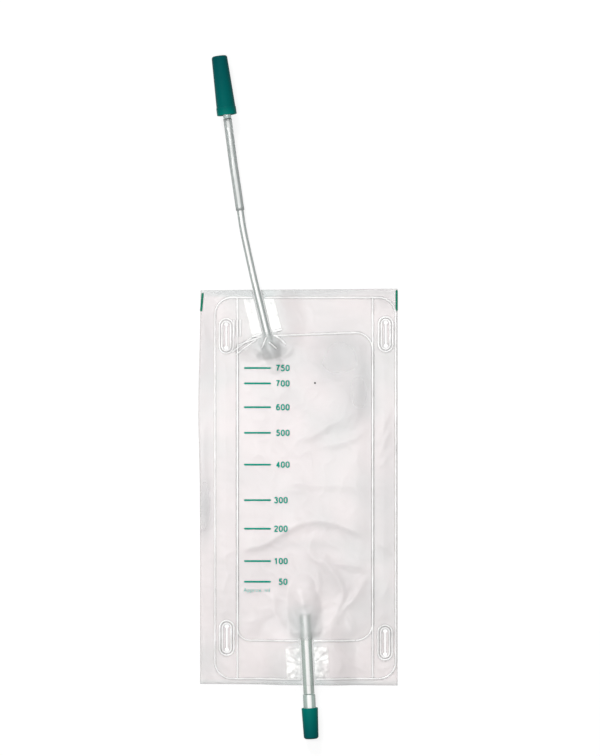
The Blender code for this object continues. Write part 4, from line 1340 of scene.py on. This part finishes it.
def lines_on_front(name, lines, above, spacing):
    """A curve object with one spline for each plan line, laid on the front sheet."""
    curve = bpy.data.curves.new(name, "CURVE")
    curve.dimensions = "3D"
    for line in lines:
        fine = divided(line, spacing)
        ring = (fine[0] - fine[-1]).length < 1e-6
        fine = fine[:-1] if ring else fine
        spots = on_front([p.x for p in fine], [p.y for p in fine], above)
        spline = curve.splines.new("POLY")
        spline.points.add(len(fine) - 1)
        spline.use_cyclic_u = ring
        for target, spot in zip(spline.points, spots):
            target.co = (*spot, 1.0)
    return linked(name, curve)


def outside_tubes(line):
    """The parts of a plan line that don't cross a tube's channel."""
    parts, part = [], []
    for point in divided(line, 1.0):
        clear = all(abs(port.local(point.x, point.y)[0]) > port.channel + 0.6
                    or port.local(point.x, point.y)[1] > port.tube_end + 14.0 for port in PORTS)
        if clear:
            part.append(point)
        else:
            parts.append(part)
            part = []
    return [part for part in parts + [part] if len(part) > 3]


weld_cloud = weld_look("clouded_weld", (0.97, 0.965, 0.96), (1.0, 1.0, 0.995), 0.6, 0.95)
# Painted shade: a faint grey band beside each weld, under its bead.
weld_painted_shade = weld_look("weld_painted_shade", (0.42, 0.43, 0.43), (0.52, 0.52, 0.52), 0.15, 0.03)


def swept_on_front(name, lines, width, height, above, material, spacing):
    """Sweep a bead of the given width and height along plan lines on the front sheet."""
    holder = lines_on_front(name, lines, above, spacing)
    sweep = holder.modifiers.new("sweep", "NODES")
    sweep.node_group = bead_tree
    sockets = {item.name: item.identifier for item in bead_tree.interface.items_tree}
    sweep[sockets["Width"]] = width * MM
    sweep[sockets["Height"]] = height * MM
    sweep[sockets["Finish"]] = material
    piece = made_real(holder, name)
    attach(piece, "bag")
    print(name + ":", len(piece.data.polygons), "faces")
    return piece


VALVE_LINES = [[(266.5, 337.0), (264.5, 342.0), (261.8, 348.5)],
               [(268.6, 342.0), (272.5, 345.0), (276.8, 349.0)],
               [(274.0, 335.0), (280.5, 339.0), (286.0, 344.5)]]
CORNER_BRACES = [[(231.5, 352.5), (252.0, 337.5)], [(236.0, 354.5), (256.5, 339.5)]]
SMALL_RIBS = [[(x, 319.0), (x, 337.0)] for x in (234.0, 237.2, 240.4)]
bead_lines = []
for line in [OUTER_WELD, CHAMBER_WELD] + SIDE_WELDS:
    bead_lines += outside_tubes(line)
bead_lines += [[at_pixel(*p) for p in line] for line in CORNER_BRACES + SMALL_RIBS
               + VALVE_LINES]
for size in (SLOT_PAD, SLOT_RIM):
    bead_lines += [closed(stadium(centre, *size)) for centre in SLOT_CENTRES]
swept_on_front("weld_painted_shade_bands", bead_lines, SHADE_BAND_WIDTH, SHADE_BAND_HEIGHT, SHADE_BAND_LIFT, weld_painted_shade,
               SHADE_BAND_SPACING)
swept_on_front("weld_beads", bead_lines, BEAD_WIDTH, BEAD_HEIGHT, BEAD_LIFT, weld_cloud,
               BEAD_SPACING)

# %% [markdown]
# ## The printed scale
#
# The scale is teal ink on the front sheet: nine bars, their numbers and a mark in each top
# corner. The bars follow the film's folds, so the same sweep that made the weld beads lays
# them, flatter and with round ends. Blender's own font is too light for such numbers, so each
# digit is drawn here as a few broad strokes, filled, and pressed onto the film.

# %% Ink
def ink(name, dark, light):
    """Teal print: dense, and a little uneven as screen print on soft film is."""
    material, tree, shader = new_material(name)
    cloud = object_noise(tree, 900.0, 4.0)
    colour = mottled(tree, cloud, dark, light, 0.35, 0.65)
    shade(tree, shader, Base_Color=colour, Roughness=0.5, Specular_IOR_Level=0.15)
    return material


teal_ink = ink("teal_ink", (0.0, 0.235, 0.165), (0.002, 0.295, 0.215))
faint_ink = ink("faint_ink", (0.03, 0.30, 0.25), (0.10, 0.40, 0.34))
dark_ink = ink("dark_green_ink", (0.0, 0.150, 0.085), (0.0, 0.195, 0.115))

# %% Bars
SCALE = [(750, 368.0), (700, 383.4), (600, 407.2), (500, 432.8), (400, 464.6), (300, 500.1),
         (200, 528.6), (100, 561.0), (50, 581.6)]
BAR_LEFT, BAR_RIGHT = 244.0, 271.0
BAR_WIDTH, MARK_WIDTH = 1.5, 1.8
INK_HEIGHT, INK_LIFT, INK_SPACING = 0.10, 0.02, 0.3
bar_lines = [[at_pixel(BAR_LEFT, py), at_pixel(BAR_RIGHT, py)] for _, py in SCALE]
swept_on_front("scale_bars", bar_lines, BAR_WIDTH, INK_HEIGHT, INK_LIFT, teal_ink,
               INK_SPACING)
corner_lines = [[at_pixel(202.3, 292.5), at_pixel(200.8, 311.5)],
                [at_pixel(396.6, 290.8), at_pixel(396.6, 311.0)]]
swept_on_front("corner_marks", corner_lines, MARK_WIDTH, INK_HEIGHT, INK_LIFT, dark_ink,
               INK_SPACING)

# %% Digits as strokes, in a cell ten units high
CELL_HEIGHT = 10.0
STROKE = 2.05
CURVED = {
    "0": [[(3.1, 9.0), (1.1, 7.4), (1.0, 5.0), (1.1, 2.6), (3.1, 1.0), (5.1, 2.6), (5.2, 5.0),
           (5.1, 7.4), (3.1, 9.0)]],
    "2": [[(1.1, 6.9), (1.6, 8.4), (3.2, 9.0), (4.8, 8.3), (5.1, 6.8), (4.2, 5.0), (2.5, 3.4),
           (1.2, 1.0)]],
    "3": [[(1.2, 7.5), (2.0, 8.8), (3.4, 9.0), (4.7, 8.1), (4.6, 6.4), (2.9, 5.4)],
          [(2.9, 5.4), (4.7, 4.6), (5.1, 3.1), (4.5, 1.5), (3.0, 0.95), (1.6, 1.4), (1.0, 2.7)]],
    "5": [[(1.5, 5.3), (2.9, 6.0), (4.5, 5.4), (5.2, 3.7), (4.7, 1.8), (3.1, 0.95), (1.6, 1.4),
           (1.0, 2.6)]],
    "6": [[(3.2, 5.8), (1.6, 5.1), (1.1, 3.4), (1.6, 1.7), (3.2, 1.0), (4.7, 1.7), (5.2, 3.4),
           (4.7, 5.1), (3.2, 5.8)], [(1.1, 3.4), (1.2, 5.9), (1.9, 8.1), (3.3, 9.0), (4.9, 8.1)]],
    "7": [[(5.1, 9.0), (3.9, 7.0), (2.9, 4.4), (2.4, 1.0)]],
}
STRAIGHT = {
    "1": [[(1.3, 7.3), (3.3, 8.7)], [(3.4, 9.6), (3.4, 0.5)]],
    "2": [[(0.6, 1.0), (5.6, 1.0)]],
    "4": [[(4.1, 9.4), (4.1, 0.5)], [(4.1, 8.9), (1.0, 3.4)], [(0.5, 3.2), (5.9, 3.2)]],
    "5": [[(1.1, 9.0), (5.3, 9.0)], [(1.9, 9.0), (1.5, 5.3)]],
    "7": [[(0.5, 9.0), (5.8, 9.0)]],
}


def stroke_outline(line, width):
    """The closed outline of a broad stroke along a plan line."""
    ways = [(after - before).normalized() for before, after in
            zip([line[0]] + line[:-1], line[1:] + [line[-1]])]
    sides = [Vector((-way.y, way.x)) * width / 2 for way in ways]
    return ([point + side for point, side in zip(line, sides)]
            + [point - side for point, side in zip(line, sides)][::-1])


def digit_strokes(digit):
    """Outlines of one digit's strokes, in cell units."""
    outlines = []
    for knots in CURVED.get(digit, []):
        points = [Vector((*knot, 0.0)) for knot in knots]
        ring = (points[0] - points[-1]).length < 1e-6
        before = points[-2] if ring else points[0]
        after = points[1] if ring else points[-1]
        first, last = (points[1] - before).normalized(), (after - points[-2]).normalized()
        line = [p.to_2d() for p in smooth_through(points, first, last, 0.5)[0]]
        outlines.append(stroke_outline(line, STROKE))
    for knots in STRAIGHT.get(digit, []):
        outlines.append(stroke_outline([Vector(knot) for knot in knots], STROKE))
    return outlines


def filled(outlines):
    """Points and triangles that cover the union of the outlines."""
    points, edges = [], []
    for outline_points in outlines:
        first, count = len(points), len(outline_points)
        points += outline_points
        edges += [(first + i, first + (i + 1) % count) for i in range(count)]
    plan, _, faces, *_ = delaunay_2d_cdt(points, edges, [], 0, 0.001, True)
    corners = np.array(faces)
    px, py = np.array([p.x for p in plan]), np.array([p.y for p in plan])
    cx, cy = px[corners].mean(axis=1), py[corners].mean(axis=1)
    covered = np.zeros(len(corners), dtype=bool)
    for outline_points in outlines:
        covered |= inside(cx, cy, outline_points)
    return px, py, corners[covered]


# %% Numbers beside the bars
DIGIT_HEIGHT, DIGIT_STEP = 5.15, 3.72
PRINT_THICKNESS = 0.05
NUMBER_LEFT = {750: 276.0, 700: 276.0, 600: 276.0, 500: 276.0, 400: 276.0, 300: 274.0,
               200: 274.0, 100: 274.0, 50: 278.6}


def pressed_on(name, x, y, faces, material):
    """A printed shape from plan places and faces, laid on the front sheet."""
    mesh = bpy.data.meshes.new(name)
    mesh.from_pydata(on_front(x, y, INK_LIFT).tolist(), [], [tuple(face) for face in faces])
    mesh.materials.append(material)
    piece = linked(name, mesh)
    wall = piece.modifiers.new("print", "SOLIDIFY")
    wall.thickness = PRINT_THICKNESS * MM
    wall.offset = 1.0
    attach(piece, "bag")
    print(name + ":", len(mesh.polygons), "faces")
    return piece


def scale_numbers():
    """Places and triangles of all the scale's digits."""
    xs, ys, faces, count = [], [], [], 0
    size = DIGIT_HEIGHT / CELL_HEIGHT
    shapes = {digit: filled(digit_strokes(digit)) for digit in "01234567"}
    for value, py in SCALE:
        corner = at_pixel(NUMBER_LEFT[value], py) - Vector((0.0, DIGIT_HEIGHT / 2))
        for place, digit in enumerate(str(value)):
            px, py_cell, triangles = shapes[digit]
            xs.append(corner.x + place * DIGIT_STEP + px * size)
            ys.append(corner.y + py_cell * size)
            faces.append(triangles + count)
            count += len(px)
    return np.concatenate(xs), np.concatenate(ys), np.concatenate(faces)


pressed_on("scale_numbers", *scale_numbers(), teal_ink)

# %% Small unit label and one speck of ink
LABEL_PLACE, LABEL_HEIGHT = (243.5, 589.8), 3.1
LABEL_CAP_SHARE, LABEL_SPACING = 0.72, 1.05
SPECK_PLACE, SPECK_RADIUS, SPECK_SIDES = (315.0, 383.0), 0.75, 24


def small_label(body, px, py, height, spacing):
    """Text as plan places and faces, with its left end and middle height at the pixel."""
    data = bpy.data.curves.new("label", "FONT")
    data.body = body
    data.size = height / LABEL_CAP_SHARE
    data.space_character = spacing
    data.resolution_u = 4
    mesh = evaluated_mesh(linked("label", data))
    form = bmesh.new()
    form.from_mesh(mesh)
    bmesh.ops.remove_doubles(form, verts=form.verts, dist=0.002)
    form.to_mesh(mesh)
    form.free()
    place = at_pixel(px, py)
    x = np.array([v.co.x for v in mesh.vertices])
    y = np.array([v.co.y for v in mesh.vertices])
    faces = [tuple(polygon.vertices) for polygon in mesh.polygons]
    return x - x.min() + place.x, y + place.y - height / 2, faces


label = small_label("Approx. ml", *LABEL_PLACE, LABEL_HEIGHT, LABEL_SPACING)
pressed_on("unit_label", *label, faint_ink)
speck = arc(at_pixel(*SPECK_PLACE), SPECK_RADIUS, 0, 345, SPECK_SIDES - 1)
speck_x, speck_y = np.array([p.x for p in speck]), np.array([p.y for p in speck])
pressed_on("ink_speck", speck_x, speck_y, [tuple(range(len(speck)))],
           ink("black_ink", (0.004, 0.004, 0.004), (0.012, 0.012, 0.012)))

# %% [markdown]
# ## The non-return valve
#
# Below the inlet tube's end two small flaps of film lie face to face, so that nothing flows
# back up the tube. Their necks lie in the tube's channel and they flare out in the chamber.
# They are plain sheets too, so they are made as the film is, between the two big sheets.

# %% Valve flaps
FLAP_THICKNESS, FLAP_NET = 0.2, 0.9
FLAP_NECK, FLAP_HALF_WIDTH = 2.8, 13.0
FLAP_CHANNEL = 3.1
BELOW_FRONT, ABOVE_BACK = 0.85, 0.55


def valve_flap(name, side, material):
    """One flap: its neck lies round the tube, and it flares out between the sheets."""
    start, flare = INLET.tube_end - 6.0, INLET.tube_end + 3.0
    edge = [(FLAP_NECK, start), (FLAP_NECK, flare), (7.0, flare + 2.6),
            (FLAP_HALF_WIDTH, flare + 7.4), (FLAP_HALF_WIDTH - 1.5, flare + 10.0),
            (8.5, flare + 11.4), (4.0, flare + 12.6), (0.0, flare + 12.2)]
    corners = [INLET.plan(u, v) for u, v in edge]
    corners += [INLET.plan(-u, v) for u, v in edge[-2::-1]]
    x, y, faces = film_net(corners, [divided(closed(corners), FLAP_NET)], [], FLAP_NET)
    front, back, _ = sheets(x, y)
    u, v = INLET.local(x, y)
    slackness = smooth((v - INLET.weld_end) / SLACK_REACH)
    neck = INLET.height + side * np.sqrt(np.maximum(0.0, FLAP_CHANNEL ** 2 - u ** 2))
    film = front - BELOW_FRONT if side > 0 else back + ABOVE_BACK
    z = (1.0 - slackness) * neck + slackness * film
    piece = sheet_piece(name, x, y, z, faces, FLAP_THICKNESS, material)
    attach(piece, "bag")
    return piece


def valve_look():
    """Slightly greener film than the bag's own."""
    material, tree, shader = new_material("valve_film")
    cloud = object_noise(tree, 120.0, 3.0)
    colour = mottled(tree, cloud, (0.55, 0.62, 0.61), (0.68, 0.74, 0.73))
    lets_lamps_through(tree, shader, remap(tree, cloud, 0.3, 0.7, 0.06, 0.14))
    shade(tree, shader, Base_Color=colour, Roughness=0.15)
    return material


valve_film = valve_look()
for name, side, cad_node in (("front_valve_flap", 1, "valve_flap_front"),
                             ("back_valve_flap", -1, "valve_flap_back")):
    flap = valve_flap(name, side, valve_film)
    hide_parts(cad_node)
    print(name + ":", len(flap.data.polygons), "faces")

# %% [markdown]
# ## Sizes, and the end
#
# The box of the solids is printed. The folds may rise over the plain sheets.

# %% Size of the solids, then the end
print("cad box:", [round(v, 4) for v in cad_low], [round(v, 4) for v in cad_high])
